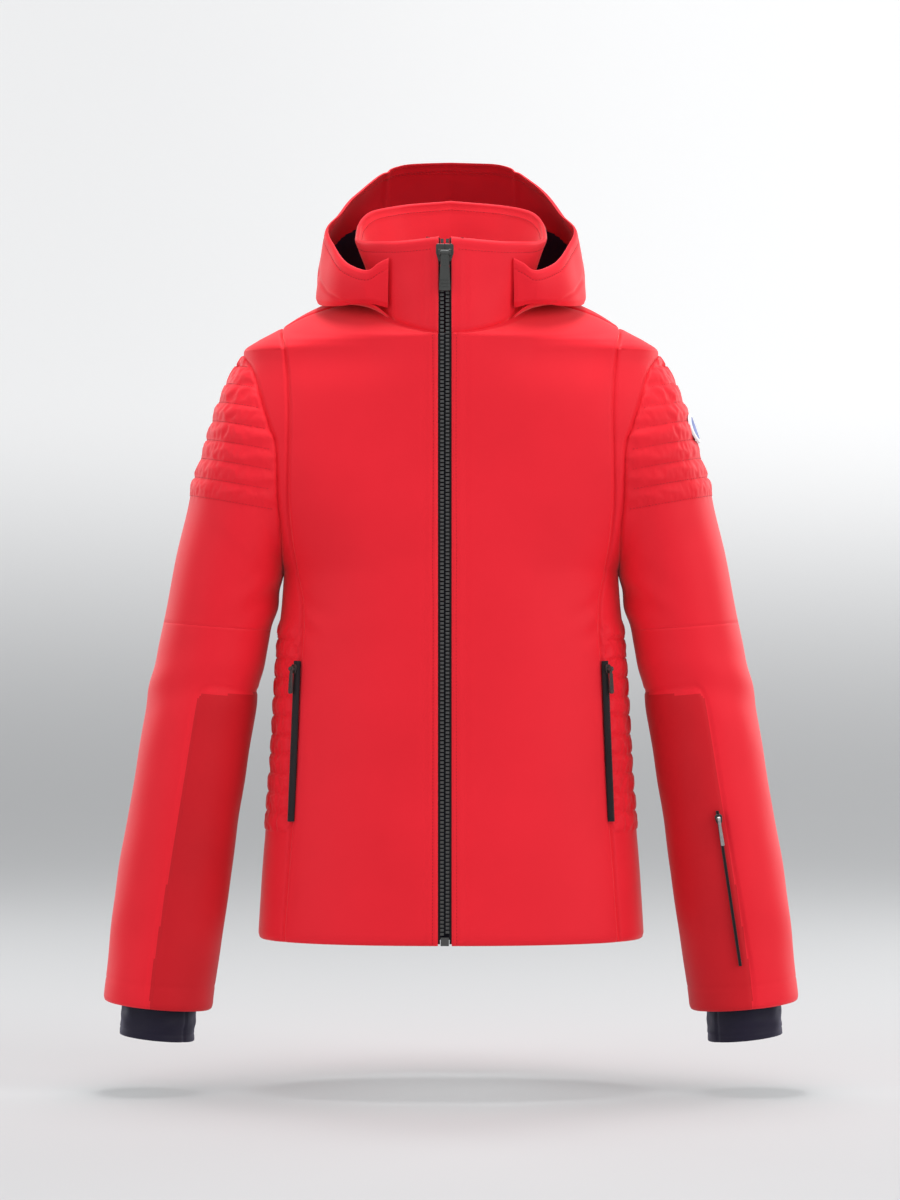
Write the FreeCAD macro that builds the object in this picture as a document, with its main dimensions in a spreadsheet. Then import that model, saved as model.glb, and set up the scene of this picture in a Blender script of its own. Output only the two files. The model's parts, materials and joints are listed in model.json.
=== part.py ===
"""Ski jacket: shell panels, collar, hood, two-stage sleeves, wrist gaiters and working zips.

Frame: millimetres, +Z up, the front faces -Y, +X is the wearer's left.
The origin is on the symmetry plane, level with the shoulder line.
"""

import FreeCAD, Part
import math
import os

from FreeCAD import Placement, Rotation, Vector

DIMENSIONS = {
    "fabric_thickness": 2.6,
    "lining_thickness": 1.2,
    "layer_gap": 0.5,
    "lining_ease": 2.4,
    "facing_top_level": -571.0,
    "lining_front_gap": 24.0,
    "seam_gap_angle": 0.2,
    "zip_line_x": -6.0,
    "front_depth_at_hem": 116.0,
    "front_depth_at_collar": 84.0,
    "hem_level": -603.0,
    "collar_front_level": 73.0,
    "front_gap_half": 6.5,
    "tooth_pitch": 3.8,
    "tooth_width": 3.4,
    "tooth_height": 2.4,
    "tooth_thickness": 3.0,
    "tooth_gap_half": 0.9,
    "chain_inset": 3.4,
    "tape_width": 14.0,
    "tape_thickness": 0.8,
    "tape_inset": 3.0,
    "tape_clearance": 0.9,
    "top_stop_width": 3.0,
    "top_stop_length": 4.0,
    "bottom_box_width": 8.0,
    "bottom_box_length": 8.0,
    "bottom_box_height": 4.6,
    "flap_half_width": 26.0,
    "flap_thickness": 1.4,
    "flap_inset": 8.8,
    "slider_width": 17.0,
    "slider_length": 17.0,
    "plate_thickness": 1.4,
    "post_width": 1.2,
    "post_length": 8.0,
    "ear_height": 4.2,
    "pin_radius": 1.0,
    "pin_clearance": 0.35,
    "pull_width": 11.0,
    "pull_length": 37.0,
    "pull_thickness": 2.4,
    "slider_rest_level": 58.5,
    "pocket_top_level": -333.0,
    "pocket_bottom_level": -488.0,
    "pocket_top_x": 147.0,
    "pocket_bottom_x": 153.0,
    "pocket_standoff": 4.0,
    "small_slider_width": 7.0,
    "small_slider_length": 9.0,
    "small_pull_width": 5.0,
    "small_pull_length": 24.0,
    "small_pull_thickness": 1.8,
    "coil_width": 1.2,
    "coil_height": 1.8,
    "coil_centre": 1.5,
    "small_tape_width": 4.5,
    "small_tape_thickness": 0.6,
    "small_chain_down": 8.0,
    "bag_outer_x": 142.0,
    "bag_inner_x": 40.0,
    "bag_inset": 8.0,
    "bag_thickness": 2.0,
    "pass_top_x": 256.0,
    "pass_top_level": -477.0,
    "pass_bottom_x": 278.0,
    "pass_bottom_level": -626.0,
    "pass_standoff": 3.4,
    "pass_pull_width": 3.6,
    "pass_pull_length": 26.0,
    "pass_pull_thickness": 1.4,
    "badge_diameter": 30.0,
    "badge_thickness": 1.2,
    "badge_x": 237.5,
    "badge_y": -16.0,
    "badge_level": -107.0,
    "loop_width": 60.0,
    "loop_depth": 16.0,
    "loop_strap": 2.0,
    "loop_height": 10.0,
    "loop_back_y": 54.5,
    "loop_level": 58.0,
    "hood_front_gap_half": 60.0,
    "hood_split_depth": 20.0,
    "armhole_half_height": 107.0,
    "armhole_half_depth": 75.0,
    "armhole_centre_level": -139.0,
    "armhole_bottom_level": -246.0,
    "armhole_bottom_x": 164.0,
    "armhole_lean": 0.173,
}

# level at the side, forward slope, half width, back depth, princess seam x
TORSO = [
    (-603.0, 0.00, 188.0, 118.0, 164.0),
    (-532.0, 0.00, 184.0, 113.0, 159.0),
    (-451.0, 0.00, 177.0, 107.0, 151.5),
    (-392.0, 0.00, 174.0, 103.0, 148.5),
    (-314.0, 0.00, 169.5, 102.0, 145.5),
    (-274.0, 0.00, 165.0, 105.0, 146.0),
    (-252.0, 0.00, 163.0, 108.0, 149.0),
]
ARMHOLE = [
    (-238.0, 110.0, 151.0),
    (-215.0, 112.0, 155.0),
    (-180.0, 112.0, 158.0),
    (-139.0, 108.0, 158.0),
    (-98.0, 100.0, 157.0),
    (-62.0, 92.0, 158.0),
    (-42.0, 88.0, 160.0),
]
SHOULDER = [
    (-32.0, 0.00, 201.0, 86.0, 161.0),
    (-21.0, 0.05, 190.0, 85.0, 163.0),
    (-10.0, 0.14, 169.5, 84.0, 164.5),
    (4.0, 0.28, 144.0, 80.0, 0.0),
    (14.0, 0.38, 115.0, 74.0, 0.0),
    (23.0, 0.47, 76.0, 66.0, 0.0),
]
COLLAR = [
    (23.6, 0.47, 76.0, 66.0),
    (60.0, 0.38, 82.0, 70.0),
    (97.0, 0.30, 92.0, 75.0),
]
# level at the side, slope of the side wall, slope of the crown, half width, front depth, back depth
HOOD = [
    (21.0, 0.10, 0.10, 128.0, 94.0, 122.0),
    (50.0, 0.30, 0.35, 131.0, 93.0, 130.0),
    (86.0, 0.50, 0.75, 123.0, 92.0, 98.0),
]
# outer x and level, inner x and level, half depth, depth centre
SLEEVE_CAP = [
    (205.0, -32.0, 168.5, -238.0, 76.0, 0.0),
    (218.0, -58.0, 168.0, -243.0, 77.0, 0.0),
    (235.0, -106.0, 167.5, -248.0, 77.0, 0.0),
    (253.0, -163.0, 167.0, -253.0, 76.0, 0.0),
    (262.0, -205.0, 166.5, -258.0, 74.0, 0.0),
    (269.0, -240.0, 166.0, -264.0, 72.0, 0.0),
]
UPPER_SLEEVE = [
    (269.5, -242.5, 166.5, -266.5, 72.0, 0.0),
    (284.0, -305.0, 178.0, -318.0, 69.0, 0.0),
    (287.0, -318.0, 180.0, -330.0, 68.0, 0.0),
]
ELBOW = [
    (287.5, -320.0, 180.5, -332.0, 68.0, 0.0),
    (299.0, -376.0, 191.0, -386.0, 66.0, -3.0),
    (306.0, -430.0, 200.0, -440.0, 64.0, -7.5),
]
LOWER_SLEEVE = [
    (306.5, -432.5, 200.5, -442.5, 64.0, -8.0),
    (326.0, -546.0, 217.6, -556.0, 60.0, -16.0),
    (338.0, -662.5, 232.0, -672.0, 56.0, -24.0),
]
GAITER = [
    (325.5, -604.0, 231.0, -613.5, 50.5, -20.0),
    (319.0, -640.0, 246.0, -647.0, 42.0, -22.0),
    (322.4, -696.0, 250.0, -703.6, 40.0, -25.0),
]
TORSO_POWER = 2.3
ROUND_POWER = 2.0
ARC_STEP = 7.5
BADGE_OUTWARD = (0.93, -0.18, 0.33)
SIDES = (("left", 1.0), ("right", -1.0))

doc = FreeCAD.newDocument("ski_jacket")
sheet = doc.addObject("Spreadsheet::Sheet", "Dimensions")
for row, (alias, value) in enumerate(DIMENSIONS.items(), start=1):
    sheet.set(f"A{row}", alias)
    sheet.set(f"B{row}", str(value))
    sheet.setAlias(f"B{row}", alias)
doc.recompute()
nodes = []


def size(alias):
    """The value of one driving dimension."""
    return float(sheet.get(alias))


def front_depth(level):
    """Distance of the straight front line ahead of the symmetry axis."""
    hem = size("front_depth_at_hem")
    rise = (level - size("hem_level")) / (size("collar_front_level") - size("hem_level"))
    return hem + (size("front_depth_at_collar") - hem) * rise


def signed_power(value, power):
    return math.copysign(abs(value) ** power, value)


class Ring:
    """A flat closed section: a centre, a sideways vector, and a front and a back vector."""

    def __init__(self, centre, side, front, back, power):
        self.centre = centre
        self.side = side
        self.front = front
        self.back = back
        self.power = power

    def inset(self, distance):
        def shorter(vector):
            return vector * ((vector.Length - distance) / vector.Length)

        return Ring(self.centre, shorter(self.side), shorter(self.front), shorter(self.back), self.power)

    def point(self, angle):
        """Angle 0 is the +side end, 90 the front, 180 the -side end and 270 the back."""
        turn = math.radians(angle)
        across = signed_power(math.cos(turn), 2 / self.power)
        along = signed_power(math.sin(turn), 2 / self.power)
        depth = self.front if along >= 0 else self.back
        return self.centre + self.side * across + depth * abs(along)

    def towards(self, other, share):
        """The section part of the way along the straight wall to another one."""
        def mixed(a, b):
            return a + (b - a) * share

        return Ring(
            mixed(self.centre, other.centre),
            mixed(self.side, other.side),
            mixed(self.front, other.front),
            mixed(self.back, other.back),
            self.power,
        )

    def angle_at(self, x):
        """Angle in the front half at which the section reaches the sideways distance x."""
        share = max(-1.0, min(1.0, (x - self.centre.x) / self.side.x))
        return math.degrees(math.acos(signed_power(share, self.power / 2)))


def level_ring(level, slope, half_width, front, back, power):
    return Ring(
        Vector(0, 0, level),
        Vector(half_width, 0, 0),
        Vector(0, -front, -slope * front),
        Vector(0, back, slope * back),
        power,
    )


def sleeve_ring(outer_x, outer_z, inner_x, inner_z, half_depth, depth_centre, hand):
    """A sleeve section, whose sideways vector points away from the body."""
    centre = Vector(hand * (outer_x + inner_x) / 2, depth_centre, (outer_z + inner_z) / 2)
    side = Vector(hand * (outer_x - inner_x) / 2, 0, (outer_z - inner_z) / 2)
    return Ring(centre, side, Vector(0, -half_depth, 0), Vector(0, half_depth, 0), ROUND_POWER)


def curve(points):
    spline = Part.BSplineCurve()
    spline.interpolate(points)
    return spline.toShape()


def closed_wire(ring):
    """The whole outline of a ring, as four quarter curves."""
    quarters = []
    for start in (0, 90, 180, 270):
        quarters.append(curve([ring.point(start + 90 * i / 5) for i in range(6)]))
    return Part.Wire(quarters)


def sector_wire(ring, start, end, inset, thickness, count):
    """Outline of a curved slab between two angles of a ring, through this many points a side."""
    outer = ring.inset(inset)
    inner = ring.inset(inset + thickness)
    steps = [start + (end - start) * i / (count - 1) for i in range(count)]
    outside = [outer.point(a) for a in steps]
    inside = [inner.point(a) for a in reversed(steps)]
    edges = [
        curve(outside),
        Part.makeLine(outside[-1], inside[0]),
        curve(inside),
        Part.makeLine(inside[-1], outside[0]),
    ]
    return Part.Wire(edges)


def sector_wall(rings, spans, inset, thickness):
    widest = max(end - start for start, end in spans)
    count = 2 * max(4, math.ceil(widest / ARC_STEP / 2)) + 1
    wires = [sector_wire(r, s, e, inset, thickness, count) for r, (s, e) in zip(rings, spans)]
    return Part.makeLoft(wires, True, True)


def tube_wall(rings, inset, thickness):
    """A closed sleeve of even thickness through the rings."""
    solids = []
    for depth in (inset, inset + thickness):
        wires = [closed_wire(ring.inset(depth)) for ring in rings]
        solids.append(Part.makeLoft(wires, True, True))
    return solids[0].cut(solids[1])


def add_node(label, shape, placement=None):
    """A sub-part whose shape follows the sheet in code."""
    node = doc.addObject("Part::Feature", label)
    node.Label = label
    node.Shape = shape
    node.Placement = placement or Placement()
    nodes.append(node)
    return node


# Sections ------------------------------------------------------------------------------------------

def armhole_x(level):
    return size("armhole_bottom_x") + (level - size("armhole_bottom_level")) * size("armhole_lean")


def armhole_depth(level):
    share = (level - size("armhole_centre_level")) / size("armhole_half_height")
    return size("armhole_half_depth") * math.sqrt(max(0.0, 1 - share * share))


def armhole_rings(level, back_depth):
    """Front and back sections whose surfaces meet the armhole oval at this level."""
    x = armhole_x(level)
    y = armhole_depth(level)
    rings = []
    for depth in (front_depth(level), back_depth):
        width = x / (1 - (y / depth) ** TORSO_POWER) ** (1 / TORSO_POWER)
        rings.append(level_ring(level, 0, width, front_depth(level), back_depth, TORSO_POWER))
    return rings


def torso_sections():
    """(front ring, back ring, armhole x or None, princess x) from the hem to the neck."""
    sections = []
    for level, slope, width, back, seam in TORSO:
        ring = level_ring(level, slope, width, front_depth(level), back, TORSO_POWER)
        sections.append((ring, ring, None, seam))
    for level, back, seam in ARMHOLE:
        front_ring, back_ring = armhole_rings(level, back)
        sections.append((front_ring, back_ring, armhole_x(level), seam))
    for i, (level, slope, width, back, seam) in enumerate(SHOULDER):
        power = TORSO_POWER + (ROUND_POWER - TORSO_POWER) * i / (len(SHOULDER) - 1)
        front_level = level - slope * size("front_depth_at_collar")
        ring = level_ring(level, slope, width, front_depth(front_level), back, power)
        sections.append((ring, ring, None, seam))
    return sections


SECTIONS = torso_sections()
BELOW_ARMPIT = SECTIONS[: len(TORSO)]
AROUND_ARMHOLE = SECTIONS[len(TORSO): len(TORSO) + len(ARMHOLE) + 3]
FABRIC = size("fabric_thickness")
LINING = size("lining_thickness")
GAP = size("seam_gap_angle")
ZIP_X = size("zip_line_x")


def mirrored(span, hand):
    """The same span of angles on the other side of the symmetry plane."""
    start, end = span
    return (start, end) if hand > 0 else (180 - end, 180 - start)


def seam_angle(ring, seam):
    return ring.angle_at(seam) if seam else 0.0


def edge_angle(ring, hole):
    return ring.angle_at(hole) if hole else 0.0


def zip_edge(ring, hand, half_gap):
    """Angle of the front edge beside the zip, measured on the wearer's left."""
    return ring.angle_at(hand * ZIP_X + half_gap)


# Shell panels --------------------------------------------------------------------------------------

def front_panels():
    for name, hand in SIDES:
        rings = [front for front, _, _, _ in SECTIONS]
        spans = []
        for ring, _, _, seam in SECTIONS:
            span = (seam_angle(ring, seam) + GAP, zip_edge(ring, hand, size("front_gap_half")))
            spans.append(mirrored(span, hand))
        add_node(f"front_panel_{name}", sector_wall(rings, spans, 0, FABRIC))


def side_panels():
    for name, hand in SIDES:
        rings = [front for front, _, _, _ in BELOW_ARMPIT]
        spans = []
        for ring, _, _, seam in BELOW_ARMPIT:
            angle = seam_angle(ring, seam) - GAP
            spans.append((-angle, angle) if hand > 0 else (180 - angle, 180 + angle))
        add_node(f"side_panel_{name}", sector_wall(rings, spans, 0, FABRIC))
        for place, index, sign in (("front", 0, 1), ("back", 1, -1)):
            rings = [section[index] for section in AROUND_ARMHOLE]
            spans = []
            for section in AROUND_ARMHOLE:
                ring = section[index]
                inner = seam_angle(ring, section[3]) - GAP
                outer = edge_angle(ring, section[2]) + GAP
                spans.append(mirrored((sign * outer, sign * inner), hand))
            add_node(f"armhole_{place}_panel_{name}", sector_wall(rings, spans, 0, FABRIC))


def back_panel():
    rings = [back for _, back, _, _ in SECTIONS]
    spans = []
    for ring, section in zip(rings, SECTIONS):
        angle = seam_angle(ring, section[3]) + GAP
        spans.append((180 + angle, 360 - angle))
    add_node("back_panel", sector_wall(rings, spans, 0, FABRIC))


def linings():
    inset = FABRIC + size("lining_ease")
    upper = SECTIONS[1:-1]
    gap = size("lining_front_gap")
    for name, hand in SIDES:
        rings = [front for front, _, _, _ in upper]
        spans = []
        for ring, _, hole, _ in upper:
            spans.append(mirrored((edge_angle(ring, hole) + GAP, zip_edge(ring, hand, gap)), hand))
        add_node(f"front_lining_{name}", sector_wall(rings, spans, inset, LINING))
    rings = [back for _, back, _, _ in upper]
    spans = [(180 + edge_angle(s[1], s[2]) + GAP, 360 - edge_angle(s[1], s[2]) - GAP) for s in upper]
    add_node("back_lining", sector_wall(rings, spans, inset, LINING))
    lowest, above = SECTIONS[0][0], SECTIONS[1][0]
    rise = size("facing_top_level") - size("hem_level")
    top = lowest.towards(above, rise / (above.centre.z - lowest.centre.z))
    spans = [(r.angle_at(ZIP_X - gap), 360 + r.angle_at(ZIP_X + gap)) for r in (lowest, top)]
    add_node("hem_facing", sector_wall([lowest, top], spans, FABRIC + size("layer_gap"), LINING))


def pocket_bags():
    for name, hand in SIDES:
        rings = [s[0] for s in BELOW_ARMPIT[1:5]]
        spans = []
        for ring in rings:
            span = (ring.angle_at(size("bag_outer_x")), ring.angle_at(size("bag_inner_x")))
            spans.append(mirrored(span, hand))
        bag = sector_wall(rings, spans, size("bag_inset"), size("bag_thickness"))
        add_node(f"pocket_bag_{name}", bag)


# Collar and hood -----------------------------------------------------------------------------------

def collar_rings():
    rings = []
    for level, slope, width, back in COLLAR:
        front = front_depth(level - slope * size("front_depth_at_collar"))
        rings.append(level_ring(level, slope, width, front, back, ROUND_POWER))
    return rings


def collar():
    rings = collar_rings()
    layers = (
        ("collar", 0, FABRIC, size("front_gap_half")),
        ("collar_lining", FABRIC + size("lining_ease"), LINING, size("lining_front_gap")),
    )
    for label, inset, thickness, gap in layers:
        spans = [(r.angle_at(ZIP_X - gap), 360 + r.angle_at(ZIP_X + gap)) for r in rings]
        add_node(label, sector_wall(rings, spans, inset, thickness))


def hood_rings(slope_column):
    return [
        level_ring(row[0], row[slope_column], row[3], row[4], row[5], ROUND_POWER)
        for row in HOOD
    ]


def hood():
    split = size("hood_split_depth")
    side = hood_rings(1)
    crown = hood_rings(2)
    back_angle = [math.degrees(math.asin(split / r.back.y)) for r in side]
    for name, hand in SIDES:
        front_angle = [r.angle_at(size("hood_front_gap_half")) for r in side]
        spans = [mirrored((1 - b, f), hand) for f, b in zip(front_angle, back_angle)]
        add_node(f"hood_side_{name}", sector_wall(side, spans, 0, FABRIC))
    spans = [(180 + b, 360 - b) for b in back_angle]
    add_node("hood_crown", sector_wall(crown, spans, 0, FABRIC))
    inset = FABRIC + size("layer_gap")
    inner = [(start + 2, end - 2) for start, end in spans]
    lining_top = crown[1].towards(crown[2], 0.46)
    facing_base = crown[1].towards(crown[2], 0.5)
    add_node("hood_lining", sector_wall(crown[:2] + [lining_top], inner, inset, LINING))
    add_node("hood_facing", sector_wall([facing_base, crown[2]], inner[1:], inset, LINING))


# Sleeves -------------------------------------------------------------------------------------------

def sleeves():
    inset = FABRIC + size("layer_gap")
    for name, hand in SIDES:
        def rings(table):
            return [sleeve_ring(*row, hand) for row in table]

        add_node(f"sleeve_cap_{name}", tube_wall(rings(SLEEVE_CAP), 0, FABRIC))
        add_node(f"upper_sleeve_{name}", tube_wall(rings(UPPER_SLEEVE), 0, FABRIC))
        add_node(f"upper_sleeve_lining_{name}", tube_wall(rings(UPPER_SLEEVE), inset, LINING))
        add_node(f"elbow_fabric_{name}", tube_wall(rings(ELBOW), 0, FABRIC))
        lower = rings(LOWER_SLEEVE)
        seams = (88.0, 84.0, 81.0)
        outer = [(-s, s) for s in seams]
        under = [(s + 2 * GAP, 360 - s - 2 * GAP) for s in seams]
        add_node(f"lower_sleeve_outer_{name}", sector_wall(lower, outer, 0, FABRIC))
        add_node(f"lower_sleeve_under_{name}", sector_wall(lower, under, 0, FABRIC))
        add_node(f"lower_sleeve_lining_{name}", tube_wall(lower, inset, LINING))
        add_node(f"wrist_gaiter_{name}", tube_wall(rings(GAITER), 0, LINING))


# Zips ----------------------------------------------------------------------------------------------

def zip_placement(start, end, outward):
    """Local X runs across the chain, local Y down it and local Z out of the fabric."""
    down = (end - start).normalize()
    across = down.cross(outward).normalize()
    out = across.cross(down)
    turn = Rotation(across, down, out, "ZXY")
    return Placement(start, turn)


def main_line():
    top = size("collar_front_level")
    bottom = size("hem_level")
    inset = size("chain_inset")
    start = Vector(ZIP_X, inset - front_depth(top), top)
    end = Vector(ZIP_X, inset - front_depth(bottom), bottom)
    return start, end


def surface_point(x, level):
    """Point of the outer torso surface at x and this level, below the armpit."""
    rings = [s[0] for s in BELOW_ARMPIT]
    for low, high in zip(rings, rings[1:]):
        if low.centre.z <= level <= high.centre.z:
            share = (level - low.centre.z) / (high.centre.z - low.centre.z)
            below = low.point(low.angle_at(x)).y
            above = high.point(high.angle_at(x)).y
            return Vector(x, below + (above - below) * share, level)
    raise ValueError(level)


def box(width, length, height, x, y, z):
    """A block centred on x, starting at y and z."""
    return Part.makeBox(width, length, height, Vector(x - width / 2, y, z))


def teeth(length, hand):
    """One row of moulded teeth, hand +1 or -1 across the chain."""
    pitch = size("tooth_pitch")
    count = int((length - 14.0) / pitch)
    x = hand * (size("tooth_gap_half") + size("tooth_width") / 2)
    rise = -size("tooth_thickness") / 2
    shift = 0.25 * pitch * (1 + hand)
    blocks = []
    for i in range(count):
        y = 6.0 + shift + i * pitch
        blocks.append(box(size("tooth_width"), size("tooth_height"), size("tooth_thickness"), x, y, rise))
    return Part.makeCompound(blocks)


def front_strip(rings, near, far, inset, thickness):
    """A strip behind the fabric, between two distances to the side of the zip's line."""
    spans = [(ring.angle_at(ZIP_X + far), ring.angle_at(ZIP_X + near)) for ring in rings]
    return sector_wall(rings, spans, inset, thickness)


def main_zip():
    start, end = main_line()
    place = zip_placement(start, end, Vector(0, -1, 0))
    length = (end - start).Length
    rings = [front for front, _, _, _ in SECTIONS] + collar_rings()[1:]
    chain_edge = size("tooth_gap_half") + size("tooth_width")
    tape_edge = chain_edge + size("tape_width")
    for name, hand in SIDES:
        near, far = sorted((hand * (chain_edge + size("tape_clearance")), hand * tape_edge))
        tape = front_strip(rings, near, far, size("tape_inset"), size("tape_thickness"))
        add_node(f"zip_tape_{name}", tape)
        across = hand * (1 if place.Rotation.multVec(Vector(1, 0, 0)).x > 0 else -1)
        add_node(f"zip_teeth_{name}", teeth(length, across), place)
        wide = size("top_stop_width")
        stop = box(wide, size("top_stop_length"), wide, across * 2.6, 0.6, -wide / 2)
        add_node(f"zip_top_stop_{name}", stop, place)
    long, high = size("bottom_box_length"), size("bottom_box_height")
    bottom = box(size("bottom_box_width"), long, high, 0, length + 1 - long, -high / 2)
    add_node("zip_bottom_box", bottom, place)
    flap_half = size("flap_half_width")
    flap = front_strip(rings, -flap_half, flap_half, size("flap_inset"), size("flap_thickness"))
    add_node("storm_flap", flap)
    return place


def bound_box(name, sizes, position):
    """A Part::Box whose edges follow cells of the sheet."""
    block = doc.addObject("Part::Box", name)
    for edge, expression in zip(("Length", "Width", "Height"), sizes):
        block.setExpression(edge, expression)
    for axis, expression in zip("xyz", position):
        block.setExpression(f".Placement.Base.{axis}", expression)
    return block


def slider(label, place, width, length, low, high):
    """Two plates joined by a thin post, with two ears and a pin for the pull."""
    prefix = "<<Dimensions>>."
    wide = f"{prefix}{width}"
    long = f"{prefix}{length}"
    plate = f"{prefix}plate_thickness"
    ear = f"{prefix}ear_height"
    parts = [
        bound_box(f"{label}_top", (wide, long, plate), (f"-{wide} / 2", f"-{long} / 2", f"{high}")),
        bound_box(
            f"{label}_bottom",
            (f"{wide} * 0.7", long, plate),
            (f"-{wide} * 0.35", f"-{long} / 2", f"-{low} - {plate}"),
        ),
        bound_box(
            f"{label}_post",
            (f"{prefix}post_width", f"{prefix}post_length * {wide} / 17", f"{low + high} + 2 * {plate}"),
            (f"-{prefix}post_width / 2", f"-{long} / 2", f"-{low} - {plate}"),
        ),
    ]
    for hand in (-1, 1):
        parts.append(
            bound_box(
                f"{label}_ear_{'b' if hand > 0 else 'a'}",
                (f"{wide} * 0.1", f"{wide} * 0.28", ear),
                (f"{hand} * {wide} * 0.3 - {wide} * 0.05", f"-{wide} * 0.14", f"{high} + {plate}"),
            )
        )
    pin = doc.addObject("Part::Cylinder", f"{label}_pin")
    pin.setExpression("Radius", f"{prefix}pin_radius")
    pin.setExpression("Height", f"{wide} * 0.6")
    pin.setExpression(".Placement.Base.x", f"-{wide} * 0.3")
    pin.setExpression(".Placement.Base.z", f"{high} + {plate} + {ear} - 1.6")
    pin.Placement.Rotation = Rotation(Vector(0, 1, 0), 90)
    fused = doc.addObject("Part::MultiFuse", label)
    fused.Label = label
    fused.Shapes = parts + [pin]
    fused.Placement = place
    nodes.append(fused)


def plane_of(body, role):
    for feature in body.Origin.OriginFeatures:
        if feature.Role == role:
            return feature
    raise LookupError(role)


def pull(label, place, width, length, thickness, eye_half):
    """A flat tab with a round eye about the slider's pin; its sketch is the side profile."""
    body = doc.addObject("PartDesign::Body", label)
    body.Label = label
    half = thickness / 2
    reach = size("pin_radius") + size("pin_clearance")
    ring = reach + 1.1
    profile = body.newObject("Sketcher::SketchObject", f"{label}_eye_profile")
    profile.AttachmentSupport = [(plane_of(body, "YZ_Plane"), "")]
    profile.MapMode = "FlatFace"
    profile.addGeometry(Part.Circle(Vector(0, 0, 0), Vector(0, 0, 1), ring))
    profile.addGeometry(Part.Circle(Vector(0, 0, 0), Vector(0, 0, 1), reach))
    eye = body.newObject("PartDesign::Pad", f"{label}_eye")
    eye.Profile = profile
    eye.Length = 2 * eye_half
    eye.Midplane = True
    outline = body.newObject("Sketcher::SketchObject", f"{label}_tab_profile")
    outline.AttachmentSupport = [(plane_of(body, "XY_Plane"), "")]
    outline.MapMode = "FlatFace"
    begin = reach + 0.5
    neck = begin + 1.6
    shoulder = begin + 5.0
    corners = [
        Vector(-eye_half, begin, 0),
        Vector(eye_half, begin, 0),
        Vector(eye_half, neck, 0),
        Vector(width / 2, shoulder, 0),
        Vector(width / 2, length, 0),
        Vector(-width / 2, length, 0),
        Vector(-width / 2, shoulder, 0),
        Vector(-eye_half, neck, 0),
    ]
    for a, b in zip(corners, corners[1:] + corners[:1]):
        outline.addGeometry(Part.LineSegment(a, b))
    tab = body.newObject("PartDesign::Pad", f"{label}_tab")
    tab.Profile = outline
    tab.Length = 2 * half
    tab.Midplane = True
    doc.recompute()
    body.Placement = place
    nodes.append(body)


def slider_and_pull(prefix, place, down, wide, long, low, high, pull_size):
    """Places a slider down the chain and its pull on the slider's pin."""
    at = place.multiply(Placement(Vector(0, down, 0), Rotation()))
    slider(f"{prefix}_slider", at, wide, long, low, high)
    pin_height = high + size("plate_thickness") + size("ear_height") - 1.6
    hung = at.multiply(Placement(Vector(0, 0, pin_height), Rotation()))
    width, length, thickness = pull_size
    pull(f"{prefix}_pull", hung, width, length, thickness, size(wide) * 0.25 - 0.3)
    hinge = hung.Base
    print(f"{prefix}: pin at {tuple(round(v, 3) for v in hinge)}")
    across = place.Rotation.multVec(Vector(1, 0, 0))
    along = place.Rotation.multVec(Vector(0, 1, 0))
    print(f"  across {tuple(round(v, 5) for v in across)} down {tuple(round(v, 5) for v in along)}")


def small_zip(prefix, label, start, end, outward, pull_size):
    place = zip_placement(start, end, outward)
    length = (end - start).Length
    parts = []
    coil, tall = size("coil_width"), size("coil_height")
    wide, thin = size("small_tape_width"), size("small_tape_thickness")
    centre = size("coil_centre")
    for hand in (-1, 1):
        parts.append(box(coil, length, tall, hand * centre, 0, -tall / 2))
        parts.append(box(wide, length, thin, hand * (centre + coil / 2 + wide / 2), 0, -thin / 2))
    chain = parts[0].fuse(parts[1:]).removeSplitter()
    add_node(label, chain, place)
    down = size("small_chain_down")
    slider_and_pull(prefix, place, down, "small_slider_width", "small_slider_length", 1.3, 1.3, pull_size)


def pocket_zips():
    for name, hand in SIDES:
        top = surface_point(size("pocket_top_x"), size("pocket_top_level"))
        bottom = surface_point(size("pocket_bottom_x"), size("pocket_bottom_level"))
        ahead = surface_point(size("pocket_top_x") - 4, size("pocket_top_level"))
        aside = surface_point(size("pocket_top_x") + 4, size("pocket_top_level"))
        tangent = aside - ahead
        outward = Vector(-tangent.y, tangent.x, 0).normalize()
        if outward.y > 0:
            outward = outward * -1
        outward = Vector(hand * outward.x, outward.y, 0)
        start = Vector(hand * top.x, top.y, top.z) + outward * size("pocket_standoff")
        end = Vector(hand * bottom.x, bottom.y, bottom.z) + outward * size("pocket_standoff")
        pull_size = (size("small_pull_width"), size("small_pull_length"), size("small_pull_thickness"))
        small_zip(f"pocket_{name}", f"pocket_zip_{name}", start, end, outward, pull_size)


def pass_pocket_zip():
    rings = [sleeve_ring(*row, 1.0) for row in LOWER_SLEEVE]

    def front_of(x, level):
        for high, low in zip(rings, rings[1:]):
            if low.centre.z <= level <= high.centre.z:
                share = (high.centre.z - level) / (high.centre.z - low.centre.z)
                y = high.point(90).y + (low.point(90).y - high.point(90).y) * share
                return Vector(x, y - size("pass_standoff"), level)
        raise ValueError(level)

    start = front_of(size("pass_top_x"), size("pass_top_level"))
    end = front_of(size("pass_bottom_x"), size("pass_bottom_level"))
    pull_size = (size("pass_pull_width"), size("pass_pull_length"), size("pass_pull_thickness"))
    small_zip("pass", "pass_zip", start, end, Vector(0, -1, 0), pull_size)


# Small pieces --------------------------------------------------------------------------------------

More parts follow.
